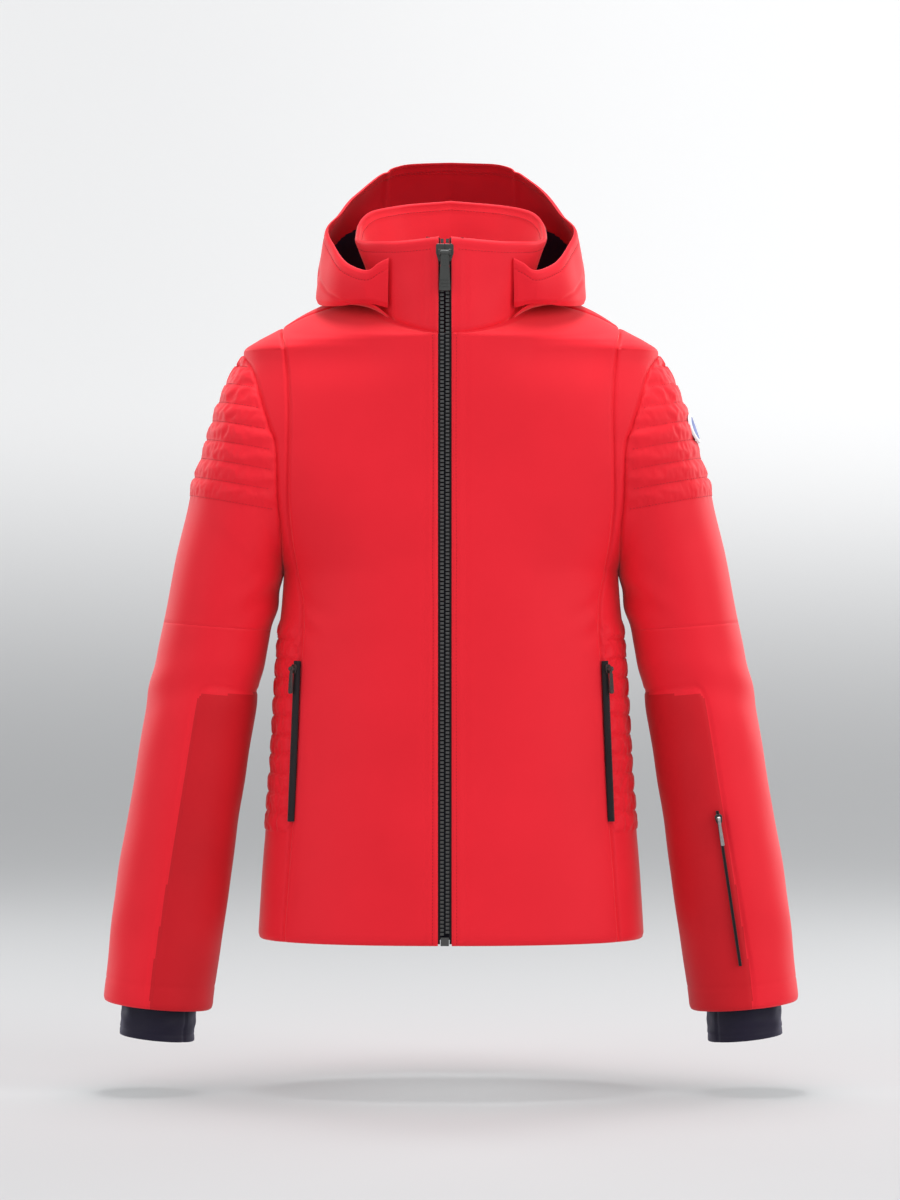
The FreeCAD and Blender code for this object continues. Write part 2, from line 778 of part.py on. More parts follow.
def badge():
    body = doc.addObject("PartDesign::Body", "sleeve_badge")
    body.Label = "sleeve_badge"
    sketch = body.newObject("Sketcher::SketchObject", "badge_outline")
    sketch.AttachmentSupport = [(plane_of(body, "XY_Plane"), "")]
    sketch.MapMode = "FlatFace"
    sketch.addGeometry(Part.Circle(Vector(0, 0, 0), Vector(0, 0, 1), size("badge_diameter") / 2))
    pad = body.newObject("PartDesign::Pad", "badge_pad")
    pad.Profile = sketch
    pad.setExpression("Length", "<<Dimensions>>.badge_thickness")
    doc.recompute()
    outward = Vector(*BADGE_OUTWARD).normalize()
    centre = Vector(size("badge_x"), size("badge_y"), size("badge_level"))
    body.Placement = Placement(centre, Rotation(Vector(0, 0, 1), outward))
    nodes.append(body)


def hanger_loop():
    body = doc.addObject("PartDesign::Body", "hanger_loop")
    body.Label = "hanger_loop"
    sketch = body.newObject("Sketcher::SketchObject", "loop_outline")
    sketch.AttachmentSupport = [(plane_of(body, "XY_Plane"), "")]
    sketch.MapMode = "FlatFace"
    half = size("loop_width") / 2
    depth = size("loop_depth")
    strap = size("loop_strap")
    corners = [
        Vector(-half, 0, 0),
        Vector(-half, -depth, 0),
        Vector(half, -depth, 0),
        Vector(half, 0, 0),
        Vector(half - strap, 0, 0),
        Vector(half - strap, strap - depth, 0),
        Vector(strap - half, strap - depth, 0),
        Vector(strap - half, 0, 0),
    ]
    for a, b in zip(corners, corners[1:] + corners[:1]):
        sketch.addGeometry(Part.LineSegment(a, b))
    pad = body.newObject("PartDesign::Pad", "loop_pad")
    pad.Profile = sketch
    pad.setExpression("Length", "<<Dimensions>>.loop_height")
    doc.recompute()
    body.Placement = Placement(Vector(0, size("loop_back_y"), size("loop_level")), Rotation())
    nodes.append(body)


front_panels()
side_panels()
back_panel()
linings()
pocket_bags()
collar()
hood()
sleeves()
main_place = main_zip()
chain_drop = main_place.Rotation.multVec(Vector(0, -1, 0)).z
rest = (size("collar_front_level") - size("slider_rest_level")) / chain_drop
slider_and_pull(
    "zip",
    main_place,
    rest,
    "slider_width",
    "slider_length",
    2.0,
    3.9,
    (size("pull_width"), size("pull_length"), size("pull_thickness")),
)
pocket_zips()
pass_pocket_zip()
badge()
hanger_loop()
doc.recompute()

for item in doc.Objects:
    if "Invalid" in item.State or "Error" in item.State:
        raise RuntimeError(f"{item.Name}: {item.State}")
os.makedirs("parts", exist_ok=True)
for node in nodes:
    if node.Shape.isNull() or not node.Shape.isValid():
        raise RuntimeError(f"{node.Label} has no valid shape")
for node in nodes:
    node.Shape.exportStep(os.path.join("parts", f"{node.Label}.step"))
print(f"{len(nodes)} nodes written")
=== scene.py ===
"""Ski jacket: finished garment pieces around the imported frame. Metres, the frame's own axes."""

import json
import math

import bpy
import numpy as np
from mathutils import Matrix, Vector


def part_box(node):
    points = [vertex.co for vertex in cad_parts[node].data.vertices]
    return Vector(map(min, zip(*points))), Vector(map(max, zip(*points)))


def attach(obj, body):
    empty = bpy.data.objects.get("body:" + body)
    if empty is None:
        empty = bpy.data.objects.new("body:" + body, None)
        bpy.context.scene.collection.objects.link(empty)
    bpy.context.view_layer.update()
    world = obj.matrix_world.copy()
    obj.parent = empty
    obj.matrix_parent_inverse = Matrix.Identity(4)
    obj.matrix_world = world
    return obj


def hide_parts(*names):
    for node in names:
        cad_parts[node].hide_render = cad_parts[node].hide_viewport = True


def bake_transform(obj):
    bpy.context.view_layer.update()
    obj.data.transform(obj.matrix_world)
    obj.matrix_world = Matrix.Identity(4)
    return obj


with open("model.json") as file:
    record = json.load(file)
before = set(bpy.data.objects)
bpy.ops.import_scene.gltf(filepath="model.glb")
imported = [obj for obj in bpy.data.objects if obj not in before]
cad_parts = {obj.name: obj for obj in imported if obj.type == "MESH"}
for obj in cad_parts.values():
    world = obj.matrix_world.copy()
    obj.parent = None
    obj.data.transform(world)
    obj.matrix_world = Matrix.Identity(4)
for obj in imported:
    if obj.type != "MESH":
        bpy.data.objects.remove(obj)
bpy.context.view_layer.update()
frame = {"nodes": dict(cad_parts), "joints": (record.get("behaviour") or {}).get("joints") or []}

MM = 0.001
SIDES = (("left", 1.0), ("right", -1.0))

# Driving measures, in millimetres ------------------------------------------------------------------

ZIP_X = -6.0
ZIP_TOP, ZIP_BOTTOM = 73.0, -603.0
FRONT_AT_TOP, FRONT_AT_HEM = 84.0, 116.0
FRONT_GAP = 6.6
TORSO_POWER = 2.3
ARMPIT, ARMHOLE_TOP = -246.0, -32.0
ARMHOLE_CENTRE, ARMHOLE_HEIGHT, ARMHOLE_DEPTH = -139.0, 107.0, 75.0
QUILT_PITCH = 18.55
SIDE_QUILT_TOP, SIDE_QUILT_ROWS = -312.5, 11
CAP_QUILT_TOP, CAP_QUILT_ROWS = -45.0, 8
CAP_QUILT_PITCH = 18.2
SLEEVE_SPLIT = -296.0
BODY_CENTRE = (0, 0, -300.0)
SHELL_THICKNESS = 2.2
SLEEVE_THICKNESS = 2.0
COLLAR_THICKNESS = 4.2
HOOD_THICKNESS = 2.6


def curve_through(xs, ys):
    """A smooth function through points that never overshoots them."""
    xs = np.array(xs, float)
    ys = np.array(ys, float)
    step = np.diff(xs)
    slope = np.diff(ys) / step
    tangent = np.zeros_like(ys)
    tangent[0], tangent[-1] = slope[0], slope[-1]
    before = 2 * step[1:] + step[:-1]
    after = step[1:] + 2 * step[:-1]
    same = slope[:-1] * slope[1:] > 0
    with np.errstate(divide="ignore", invalid="ignore"):
        mean = (before + after) / (before / slope[:-1] + after / slope[1:])
    tangent[1:-1] = np.where(same, mean, 0.0)

    def value(x):
        x = np.asarray(x, float)
        k = np.clip(np.searchsorted(xs, x) - 1, 0, len(xs) - 2)
        t = np.clip((x - xs[k]) / step[k], 0.0, 1.0)
        low = (1 + 2 * t) * (1 - t) ** 2 * ys[k] + t * (1 - t) ** 2 * step[k] * tangent[k]
        high = t * t * (3 - 2 * t) * ys[k + 1] + t * t * (t - 1) * step[k] * tangent[k + 1]
        return low + high

    return value


def peak(offset, width):
    """A bell curve: 1 where the offset is 0."""
    return np.exp(-((offset / width) ** 2))


def power(value, exponent):
    return np.sign(value) * np.abs(value) ** exponent


def front_line(level):
    return FRONT_AT_HEM + (FRONT_AT_TOP - FRONT_AT_HEM) * (level - ZIP_BOTTOM) / (ZIP_TOP - ZIP_BOTTOM)


# Torso surface -------------------------------------------------------------------------------------

LEVELS = [-603, -532, -451, -392, -314, -274, -246, -200, -139, -80, -32, -21, -10, 4, 14, 23]
half_width = curve_through(
    LEVELS, [189, 184.5, 177.5, 174, 169.5, 165.5, 164, 172, 184, 194, 203, 190, 169.5, 144, 115, 76]
)
back_depth = curve_through(LEVELS, [118, 113, 107, 103, 102, 105, 109, 112, 108, 97, 86, 85, 84, 80, 74, 66])
neck_slope = curve_through(LEVELS, [0, 0, 0, 0, 0, 0, 0, 0, 0, 0, 0, 0.05, 0.14, 0.28, 0.38, 0.47])
SEAM_TOP = -8.0
seam_x = curve_through(
    [-603, -532, -451, -392, -333, -302, -283, -246, -215, -180, -98, -62, -32, -20, SEAM_TOP],
    [163, 158, 152, 149, 146.5, 144.5, 144.5, 151, 155.5, 157.5, 156.5, 158, 161, 163,
     float(half_width(SEAM_TOP))],
)
armhole_front_x = curve_through(
    [-246, -201, -182, -126, -105, -77, -45, -32], [164, 165, 167, 168.6, 175.5, 184, 194, 203]
)
armhole_back_x = curve_through([-246, -180, -126, -77, -32], [164, 172, 180, 190, 203])


def armhole_depth(level):
    share = np.clip((level - ARMHOLE_CENTRE) / ARMHOLE_HEIGHT, -1, 1)
    return ARMHOLE_DEPTH * np.sqrt(1 - share * share)


def section(level, back):
    """(half width, depth, armhole x, slope, power) of the front or back half at a level."""
    level = np.asarray(level, float)
    slope = neck_slope(level)
    blend = np.clip((level + 32) / 55, 0, 1)
    exponent = TORSO_POWER + (2.0 - TORSO_POWER) * blend
    depth = back_depth(level) if back else front_line(level - slope * 86)
    around = (level > ARMPIT) & (level < ARMHOLE_TOP)
    hole = (armhole_back_x if back else armhole_front_x)(level)
    share = (armhole_depth(level) / depth) ** exponent
    wide = hole / (1 - share) ** (1 / exponent)
    width = np.where(around, wide, half_width(level))
    return width, depth, np.where(around, hole, width), slope, exponent


def angle_of(level, x, back):
    width, _, _, _, exponent = section(level, back)
    share = np.clip(x / width, -1, 1)
    return np.arccos(power(share, exponent / 2))


def spread(low, high, share):
    """Angles from low to high on each level, at the given shares of the way."""
    return low[:, None] + (high - low)[:, None] * share[None, :]


def torso_grid(levels, angles, back):
    """Points of the torso surface; angle 0 is the side, pi / 2 the middle of the front or the back."""
    width, depth, _, slope, exponent = (v[:, None] for v in section(levels, back))
    x = width * power(np.cos(angles), 2 / exponent)
    y = depth * np.abs(np.sin(angles)) ** (2 / exponent) * (1 if back else -1)
    z = levels[:, None] + slope * y
    reach = np.abs(x)
    blend = np.clip((reach - 8) / 70, 0, 1) ** 1.5 * (1 - np.clip((reach - 132) / 30, 0, 1) ** 2)
    round_off = 6.5 * peak(levels[:, None] + 34, 27) * blend
    y = y - np.sign(y) * round_off * np.clip(np.abs(y) / 45, 0, 1)
    return np.stack([x, y, z], axis=-1)


# Meshes from grids ---------------------------------------------------------------------------------

def grid_normals(points, closed=False):
    if closed:
        along = np.roll(points, -1, 1) - np.roll(points, 1, 1)
    else:
        along = np.gradient(points, axis=1)
    up = np.gradient(points, axis=0)
    normal = np.cross(along, up)
    length = np.linalg.norm(normal, axis=-1, keepdims=True)
    return normal / np.maximum(length, 1e-9)


def outward_normals(points, centre, closed=False):
    """Unit normals of a grid, turned to point away from the centre."""
    normals = grid_normals(points, closed)
    if np.sum(normals * (points - np.asarray(centre))) < 0:
        return -normals
    return normals


class Builder:
    """Collects vertices and faces, each face with a material number."""

    def __init__(self):
        self.points = []
        self.faces = []
        self.marks = []
        self.count = 0

    def add(self, points, faces, mark=0):
        self.points.append(np.asarray(points, float).reshape(-1, 3))
        self.faces += [tuple(i + self.count for i in face) for face in faces]
        self.marks += [mark] * len(faces) if np.isscalar(mark) else list(mark)
        self.count += len(self.points[-1])

    def grid(self, points, closed=False, flip=False, mark=0):
        rows, columns = points.shape[:2]
        faces = []
        last = columns if closed else columns - 1
        for i in range(rows - 1):
            for j in range(last):
                k = (j + 1) % columns
                face = (i * columns + j, i * columns + k, (i + 1) * columns + k, (i + 1) * columns + j)
                faces.append(face[::-1] if flip else face)
        self.add(points, faces, mark)

    def piece(self, name, materials, body, slot, sharp=None):
        mesh = bpy.data.meshes.new(name)
        mesh.from_pydata((np.concatenate(self.points) * MM).tolist(), [], self.faces)
        for material in materials:
            mesh.materials.append(material)
        mesh.polygons.foreach_set("material_index", self.marks)
        mesh.polygons.foreach_set("use_smooth", [True] * len(self.faces))
        mesh.update()
        obj = bpy.data.objects.new(name, mesh)
        bpy.context.scene.collection.objects.link(obj)
        if sharp:
            mesh.set_sharp_from_angle(angle=math.radians(sharp))
        if body:
            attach(obj, body)
        return obj


def sheet_solid(builder, outer, normals, thickness, closed=False, marks=(0, 0, 0)):
    """A sheet of cloth with rounded rims: its outside, its inside and the edges between them."""
    rows, columns = outer.shape[:2]
    inner = outer - normals * thickness
    middle = outer - normals * thickness / 2
    along = np.gradient(outer, axis=0)
    along /= np.maximum(np.linalg.norm(along, axis=-1, keepdims=True), 1e-9)
    low_edge = middle[0] - along[0] * thickness * 0.45
    high_edge = middle[-1] + along[-1] * thickness * 0.45
    loop = np.concatenate([[low_edge], outer, [high_edge]])
    flip = orientation(outer, normals)
    builder.grid(loop, closed, flip, marks[0])
    back = np.concatenate([[low_edge], inner, [high_edge]])
    builder.grid(back, closed, not flip, marks[1])
    if not closed:
        for column, turn in ((0, False), (-1, True)):
            strip = np.stack([outer[:, column], inner[:, column]], axis=1)
            builder.grid(strip, False, flip == turn, marks[2])


def sheet_piece(name, materials, body, slot, points, normals, thickness, closed=False):
    builder = Builder()
    sheet_solid(builder, points, normals, thickness, closed)
    return builder.piece(name, materials, body, slot)


def orientation(points, normals):
    """True when the grid's own winding faces against the normals."""
    i = points.shape[0] // 2
    j = points.shape[1] // 2
    b = points[i, j + 1] - points[i, j]
    a = points[i + 1, j] - points[i, j]
    return float(np.dot(np.cross(b, a), normals[i, j])) < 0


def armhole_pull(points, normals, distance, depth=2.3):
    """Pulls cloth in beside the armhole seam, in one direction for the panel and the sleeve."""
    radial = np.zeros_like(points)
    radial[..., 1] = points[..., 1] / ARMHOLE_DEPTH ** 2
    radial[..., 2] = (points[..., 2] - ARMHOLE_CENTRE) / ARMHOLE_HEIGHT ** 2
    radial /= np.maximum(np.linalg.norm(radial, axis=-1, keepdims=True), 1e-9)
    near = peak(distance, 2.4)[..., None]
    wide = peak(distance, 11.0)[..., None]
    return points - radial * (near * depth + wide * depth * 0.35)


def clustered(count):
    """Fractions from 0 to 1, closer together at both ends."""
    return 0.5 - 0.5 * np.cos(np.linspace(0, math.pi, count))


def edge_distance(points):
    """Distance of each grid point from its row's first and last point."""
    steps = np.linalg.norm(np.diff(points, axis=1), axis=-1)
    run = np.concatenate([np.zeros((len(points), 1)), np.cumsum(steps, axis=1)], axis=1)
    return run, run[:, -1:] - run


def valley(distance, depth=2.5, width=2.0):
    """How far a seam pulls the cloth in at this distance from it."""
    return depth * np.exp(-((distance / width) ** 2)) + 0.3 * depth * np.exp(-((distance / (width * 5)) ** 2))


def ripple(points, scale, seed):
    """Seeded smooth waviness, from a few sines in different directions."""
    rng = np.random.default_rng(seed)
    total = np.zeros(points.shape[:-1])
    for octave in range(6):
        direction = rng.normal(size=3)
        direction /= np.linalg.norm(direction)
        phase = rng.uniform(0, 2 * math.pi)
        frequency = 2 * math.pi / (scale * rng.uniform(0.6, 1.6))
        total += np.sin(points @ direction * frequency + phase)
    return total / 6


def quilt(coordinate, top, pitch, rows):
    """(0 to 1 puff between stitched rows, distance to the nearest row)."""
    place = (top - coordinate) / pitch
    inside = (place > -1.0) & (place < rows - 0.02)
    nearest = np.abs(place - np.round(place)) * pitch
    arch = np.abs(np.sin(math.pi * place)) ** 0.62
    return np.where(inside, arch, 0.0), np.where(inside | (np.abs(place - rows) < 0.5), nearest, 99.0)


# Cloth simulation ----------------------------------------------------------------------------------

def puffed(points, pinned, pressure, slack, limit, closed=False):
    """The grid after its stitched lines are held and the cloth between them is blown out."""
    base = Builder()
    base.grid(points, closed)
    mesh = bpy.data.meshes.new("cloth_work")
    mesh.from_pydata((np.concatenate(base.points) * MM).tolist(), [], base.faces)
    work = bpy.data.objects.new("cloth_work", mesh)
    bpy.context.scene.collection.objects.link(work)
    group = work.vertex_groups.new(name="held")
    group.add([int(i) for i in np.flatnonzero(pinned.ravel())], 1.0, "REPLACE")
    cloth = work.modifiers.new("cloth", "CLOTH")
    cloth.settings.quality = 6
    cloth.settings.mass = 0.25
    cloth.settings.tension_stiffness = 18
    cloth.settings.compression_stiffness = 18
    cloth.settings.shear_stiffness = 6
    cloth.settings.bending_stiffness = 0.08
    cloth.settings.air_damping = 4
    cloth.settings.vertex_group_mass = "held"
    cloth.settings.use_pressure = True
    cloth.settings.uniform_pressure_force = pressure
    cloth.settings.shrink_min = -slack
    cloth.settings.effector_weights.gravity = 0
    cloth.collision_settings.use_collision = False
    cloth.point_cache.frame_start = 1
    cloth.point_cache.frame_end = 16
    scene = bpy.context.scene
    for number in range(1, 17):
        scene.frame_set(number)
    evaluated = work.evaluated_get(bpy.context.evaluated_depsgraph_get())
    flat = np.empty(len(evaluated.data.vertices) * 3)
    evaluated.data.vertices.foreach_get("co", flat)
    moved = flat.reshape(points.shape) / MM - points
    bpy.data.objects.remove(work)
    bpy.data.meshes.remove(mesh)
    scene.frame_set(1)
    length = np.linalg.norm(moved, axis=-1, keepdims=True)
    return points + moved * np.minimum(1, limit / np.maximum(length, 1e-9))


# Materials -----------------------------------------------------------------------------------------

class Surface:
    """A material being made: adds nodes, and sets or links their inputs."""

    def __init__(self, name):
        self.material = bpy.data.materials.new(name)
        self.material.use_nodes = True
        self.nodes = self.material.node_tree.nodes
        self.shader = self.nodes["Principled BSDF"]

    def feed(self, node, inputs):
        for key, value in inputs.items():
            if isinstance(value, bpy.types.NodeSocket):
                self.material.node_tree.links.new(value, node.inputs[key])
            else:
                node.inputs[key].default_value = value

    def add(self, kind, output, inputs, **settings):
        node = self.nodes.new("ShaderNode" + kind)
        for key, value in settings.items():
            setattr(node, key, value)
        self.feed(node, inputs)
        return node.outputs[output]

    def noise(self, scale, detail):
        place = self.add("TexCoord", "Object", {})
        return self.add("TexNoise", "Fac", {"Scale": scale, "Detail": detail, "Vector": place})

    def ramp(self, factor, first, last, positions=(0.0, 1.0)):
        colour = self.add("ValToRGB", "Color", {"Fac": factor})
        for element, value, position in zip(colour.node.color_ramp.elements, (first, last), positions):
            element.position = position
            element.color = (*value, 1)
        return colour

    def finish(self, colour, ridge, worn_colour, grain, roughness, height, bump):
        """Rubbed ridges, uneven gloss and a fine bump; ridge and roughness are ranges."""
        pointed = self.add("NewGeometry", "Pointiness", {})
        rubbed = {"Value": pointed, "From Min": ridge[0], "From Max": ridge[1], "To Max": ridge[2]}
        factor = self.add("MapRange", "Result", rubbed)
        worn = {"Factor": factor, "A": colour, "B": (*[min(1, c) for c in worn_colour], 1)}
        gloss = {"Value": grain, "To Min": roughness[0], "To Max": roughness[1]}
        self.feed(self.shader, {
            "Base Color": self.add("Mix", "Result", worn, data_type="RGBA"),
            "Roughness": self.add("MapRange", "Result", gloss),
            "Normal": self.add("Bump", "Normal", {"Strength": bump, "Distance": 0.0002, "Height": height}),
        })


def fabric(name, colour, shade, roughness, sheen, weave=0.55, bump=0.12, tint=(1.0, 0.75, 0.72, 1)):
    """Woven cloth: fine crossed threads, soft blotches of colour and worn, lighter ridges."""
    made = Surface(name)
    place = made.add("TexCoord", "Object", {})
    thread = {"Scale": 1000 / weave / 6.28, "Distortion": 1.5, "Detail Scale": 3.0, "Vector": place}
    warp, weft = (made.add("TexWave", "Fac", thread, bands_direction=way) for way in ("X", "Z"))
    crossed = made.add("Math", "Value", {0: warp, 1: weft}, operation="ADD")
    grain = made.noise(900, 2)
    blotches = made.ramp(made.noise(9, 3), shade, colour, (0.3, 0.72))
    height = made.add("Math", "Value", {0: crossed, 1: 0.5, 2: grain}, operation="MULTIPLY_ADD")
    worn = [c * 1.25 + 0.02 for c in colour]
    made.finish(blotches, (0.52, 0.66, 0.35), worn, grain, (roughness - 0.07, roughness + 0.07), height, bump)
    made.feed(made.shader, {
        "Specular IOR Level": 0.22, "Sheen Weight": sheen, "Sheen Roughness": 0.42, "Sheen Tint": tint,
    })
    return made.material


def hard(name, colour, roughness, metallic=0.0, scratch=0.05, grain_scale=700):
    """Moulded plastic or enamelled metal: fine grain, uneven gloss and rubbed edges."""
    made = Surface(name)
    grain = made.noise(grain_scale, 4)
    mottled = made.ramp(grain, [c * 0.75 for c in colour], [min(1, c * 1.3) for c in colour])
    worn = [c * 2.2 + 0.03 for c in colour]
    made.finish(mottled, (0.54, 0.7, 0.6), worn, grain, (roughness - 0.08, roughness + 0.1), grain, scratch)
    made.feed(made.shader, {"Metallic": metallic})
    return made.material


RED = (0.83, 0.011, 0.026)
SHELL = fabric("shell_red", RED, (0.77, 0.009, 0.022), 0.62, 0.20)
UNDER = fabric("under_red", (0.60, 0.006, 0.014), (0.53, 0.005, 0.012), 0.66, 0.12)
FACING = fabric("facing_red", (0.62, 0.006, 0.016), (0.54, 0.005, 0.013), 0.68, 0.1)
THREAD = fabric("thread_red", (0.50, 0.008, 0.018), (0.4, 0.005, 0.013), 0.5, 0.1)
NAVY = fabric("lining_navy", (0.012, 0.010, 0.022), (0.007, 0.006, 0.014), 0.5, 0.15, tint=(0.6, 0.6, 0.9, 1))
GAITER = fabric(
    "gaiter_navy", (0.013, 0.009, 0.028), (0.008, 0.006, 0.018), 0.6, 0.2, 0.8, 0.2, (0.5, 0.45, 0.8, 1)
)
TAPE = fabric(
    "zip_tape_black", (0.016, 0.014, 0.016), (0.009, 0.008, 0.01), 0.65, 0.1, 0.7, 0.3, (1, 1, 1, 1)
)
PLASTIC = hard("zip_plastic_black", (0.018, 0.018, 0.018), 0.42)
METAL = hard("slider_black", (0.03, 0.03, 0.028), 0.34, 0.35)
PULL = hard("pull_black", (0.028, 0.030, 0.028), 0.5, 0.0, 0.15)
STEEL = hard("bar_grey", (0.32, 0.31, 0.31), 0.3, 0.9)
BADGE_RIM = hard("badge_white", (0.78, 0.8, 0.84), 0.45)
BADGE_FACE = hard("badge_blue", (0.02, 0.06, 0.32), 0.4)


# Torso pieces --------------------------------------------------------------------------------------

def levels_between(low, high, step):
    return np.linspace(low, high, int(round((high - low) / step)) + 1)


def hem_roll(levels):
    """The hem's turned edge pulls in a little at the very bottom."""
    return 1.4 * peak(levels - ZIP_BOTTOM, 2.5)


def front_panel(name, hand):
    levels = np.concatenate([levels_between(-603, -40, 5.0), levels_between(-36, 23, 2.0), [23.6]])
    low = np.where(levels > SEAM_TOP, 0.0, angle_of(levels, seam_x(levels), False))
    high = angle_of(levels, hand * ZIP_X + FRONT_GAP, False)
    share = clustered(64)
    angles = spread(low, high, share)
    points = torso_grid(levels, angles, False)
    points[..., 0] *= hand
    normals = outward_normals(points, BODY_CENTRE)
    from_seam, from_zip = edge_distance(points)
    depth = valley(from_seam) + 0.9 * peak(from_zip, 1.6) + hem_roll(levels)[:, None]
    depth += 1.2 * peak(23 - levels, 2.2)[:, None]
    swell = 0.9 * ripple(points, 150, 3 + int(hand)) + 0.3 * ripple(points, 60, 9 + int(hand))
    waist = peak(points[..., 2] + 292, 26) * peak(from_seam, 26)
    folds = 1.6 * waist * np.sin((points[..., 2] * 0.9 + from_seam * 0.5) / 4.2)
    folds = folds * np.minimum(1, from_seam / 8)
    placket = 0.5 * peak(from_zip - 2.2, 1.6) - 0.5 * peak(from_zip - 4.8, 0.9)
    placket -= 0.45 * peak(from_zip - 13.5, 2.5)
    points = points + normals * (swell * np.minimum(1, from_seam / 20) + folds + placket - depth)[..., None]
    piece = sheet_piece(f"front_{name}", [SHELL], "shell", "shell_fabric", points, normals, SHELL_THICKNESS)
    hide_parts(f"front_panel_{name}")
    threads = Builder()
    column = int(np.argmin(np.abs(from_zip[40] - 4.8)))
    stitch_row(threads, points[:-3, column], normals[:-3, column])
    threads.piece(f"front_stitches_{name}", [THREAD], "shell", "shell_fabric")


def side_piece(name, hand, back):
    """From the side seam to the princess seam, hem to shoulder, with the armhole above the armpit."""
    hole_levels = ARMPIT + (ARMHOLE_TOP - ARMPIT) * (0.5 - 0.5 * np.cos(np.linspace(0, math.pi, 84)))
    levels = np.concatenate([
        levels_between(-603, -520, 4.0),
        levels_between(-517, -300, 1.55),
        levels_between(-296, -249, 3.0),
        hole_levels,
        levels_between(-31, SEAM_TOP - 0.2, 1.9),
    ])
    _, _, hole, _, _ = section(levels, back)
    low = np.where((levels > ARMPIT) & (levels < ARMHOLE_TOP), angle_of(levels, hole, back), 0.0)
    high = angle_of(levels, seam_x(levels), back)
    share = clustered(40)
    angles = spread(low, high, share)
    points = torso_grid(levels, angles, back)
    points[..., 0] *= hand
    normals = outward_normals(points, BODY_CENTRE)
    from_side, from_seam = edge_distance(points)
    puff, nearest = quilt(points[..., 2], SIDE_QUILT_TOP, QUILT_PITCH, SIDE_QUILT_ROWS - 1)
    seam_hold = np.minimum(1, from_seam / 16) ** 0.7
    if back:
        seam_hold = np.minimum(1, from_seam / 8) ** 0.7
    beside_hole = ((levels >= ARMPIT) & (levels <= ARMHOLE_TOP))[:, None]
    depth = valley(from_seam) * np.minimum(1, from_side / 4) + hem_roll(levels)[:, None]
    depth += np.where(beside_hole, 0.0, valley(from_side) * 0.35)
    shaped = points + normals * (1.4 * puff * seam_hold - depth)[..., None]
    lowest = SIDE_QUILT_TOP - QUILT_PITCH * (SIDE_QUILT_ROWS - 1) - 2
    band = (levels < SIDE_QUILT_TOP + QUILT_PITCH) & (levels > lowest)
    rows = np.flatnonzero(band)
    patch = shaped[rows]
    held = (nearest[rows] < 0.8) | (from_seam[rows] < 1.0) | (from_side[rows] < 0.5)
    held[0] = held[-1] = True
    grown = puffed(patch, held, -0.9 * sheet_sign(patch, normals[rows]), 0.05, 3.2)
    shaped[rows] = grown
    pucker = 0.35 * ripple(points * [0.5, 0.5, 0.05], 6, 21) * peak(nearest, 5) * seam_hold
    shaped = shaped + normals * pucker[..., None]
    from_hole = np.where(beside_hole, from_side, 40.0)
    shaped = armhole_pull(shaped, normals, from_hole)
    builder = Builder()
    sheet_solid(builder, shaped, normals, SHELL_THICKNESS)
    place = "back" if back else "front"
    piece = builder.piece(f"side_{place}_{name}", [SHELL], "shell", "shell_fabric")
    if back:
        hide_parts(f"armhole_back_panel_{name}")
    else:
        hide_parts(f"armhole_front_panel_{name}", f"side_panel_{name}")


def sheet_sign(points, normals):
    """+1 when Blender's face winding of the plain grid agrees with the normals."""
    return -1.0 if orientation(points, normals) else 1.0


def back_piece():
    levels = np.concatenate([levels_between(-603, -40, 5.0), levels_between(-36, 23, 2.0), [23.6]])
    low = np.where(levels > SEAM_TOP, 0.0, angle_of(levels, seam_x(levels), True))
    share = clustered(110)
    angles = low[:, None] + (math.pi - 2 * low)[:, None] * share[None, :]
    points = torso_grid(levels, angles, True)
    normals = outward_normals(points, BODY_CENTRE)
    one, other = edge_distance(points)
    near = np.minimum(one, other)
    depth = valley(near) + hem_roll(levels)[:, None] + 1.2 * peak(23 - levels, 2.2)[:, None]
    yoke = valley(np.abs(points[..., 2] + 88 + 10 * np.cos(points[..., 0] / 60)), 1.1, 2.4)
    swell = 1.3 * ripple(points, 170, 31) + 0.5 * ripple(points, 70, 33)
    points = points + normals * (swell * np.minimum(1, near / 20) - depth - yoke)[..., None]
    piece = sheet_piece("back", [SHELL], "shell", "shell_fabric", points, normals, SHELL_THICKNESS)
    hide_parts("back_panel")


def body_lining():
    """The dark inside of the body, front halves and back, open at the armholes."""
    for name, hand in SIDES:
        levels = levels_between(-596, 14, 6.0)
        _, _, hole, _, _ = section(levels, False)
        low = np.where((levels > ARMPIT) & (levels < ARMHOLE_TOP), angle_of(levels, hole, False), 0.0)
        high = angle_of(levels, hand * ZIP_X + 20, False)
        angles = spread(low, high, np.linspace(0, 1, 40))
        points = torso_grid(levels, angles, False)
        points[..., 0] *= hand
        normals = outward_normals(points, BODY_CENTRE)
        points = points - normals * (4.0 - 0.6 * ripple(points, 40, 41))[..., None]
        piece = sheet_piece(f"lining_front_{name}", [NAVY], "shell", "lining_fabric", points, normals, 0.8)
        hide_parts(f"front_lining_{name}")
    levels = levels_between(-596, 14, 6.0)
    _, _, hole, _, _ = section(levels, True)
    low = np.where((levels > ARMPIT) & (levels < ARMHOLE_TOP), angle_of(levels, hole, True), 0.0)
    angles = low[:, None] + (math.pi - 2 * low)[:, None] * np.linspace(0, 1, 80)[None, :]
    points = torso_grid(levels, angles, True)
    normals = outward_normals(points, BODY_CENTRE)
    points = points - normals * (4.0 - 0.6 * ripple(points, 40, 43))[..., None]
    piece = sheet_piece("lining_back", [NAVY], "shell", "lining_fabric", points, normals, 0.8)
    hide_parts("back_lining")


# Sleeves -------------------------------------------------------------------------------------------

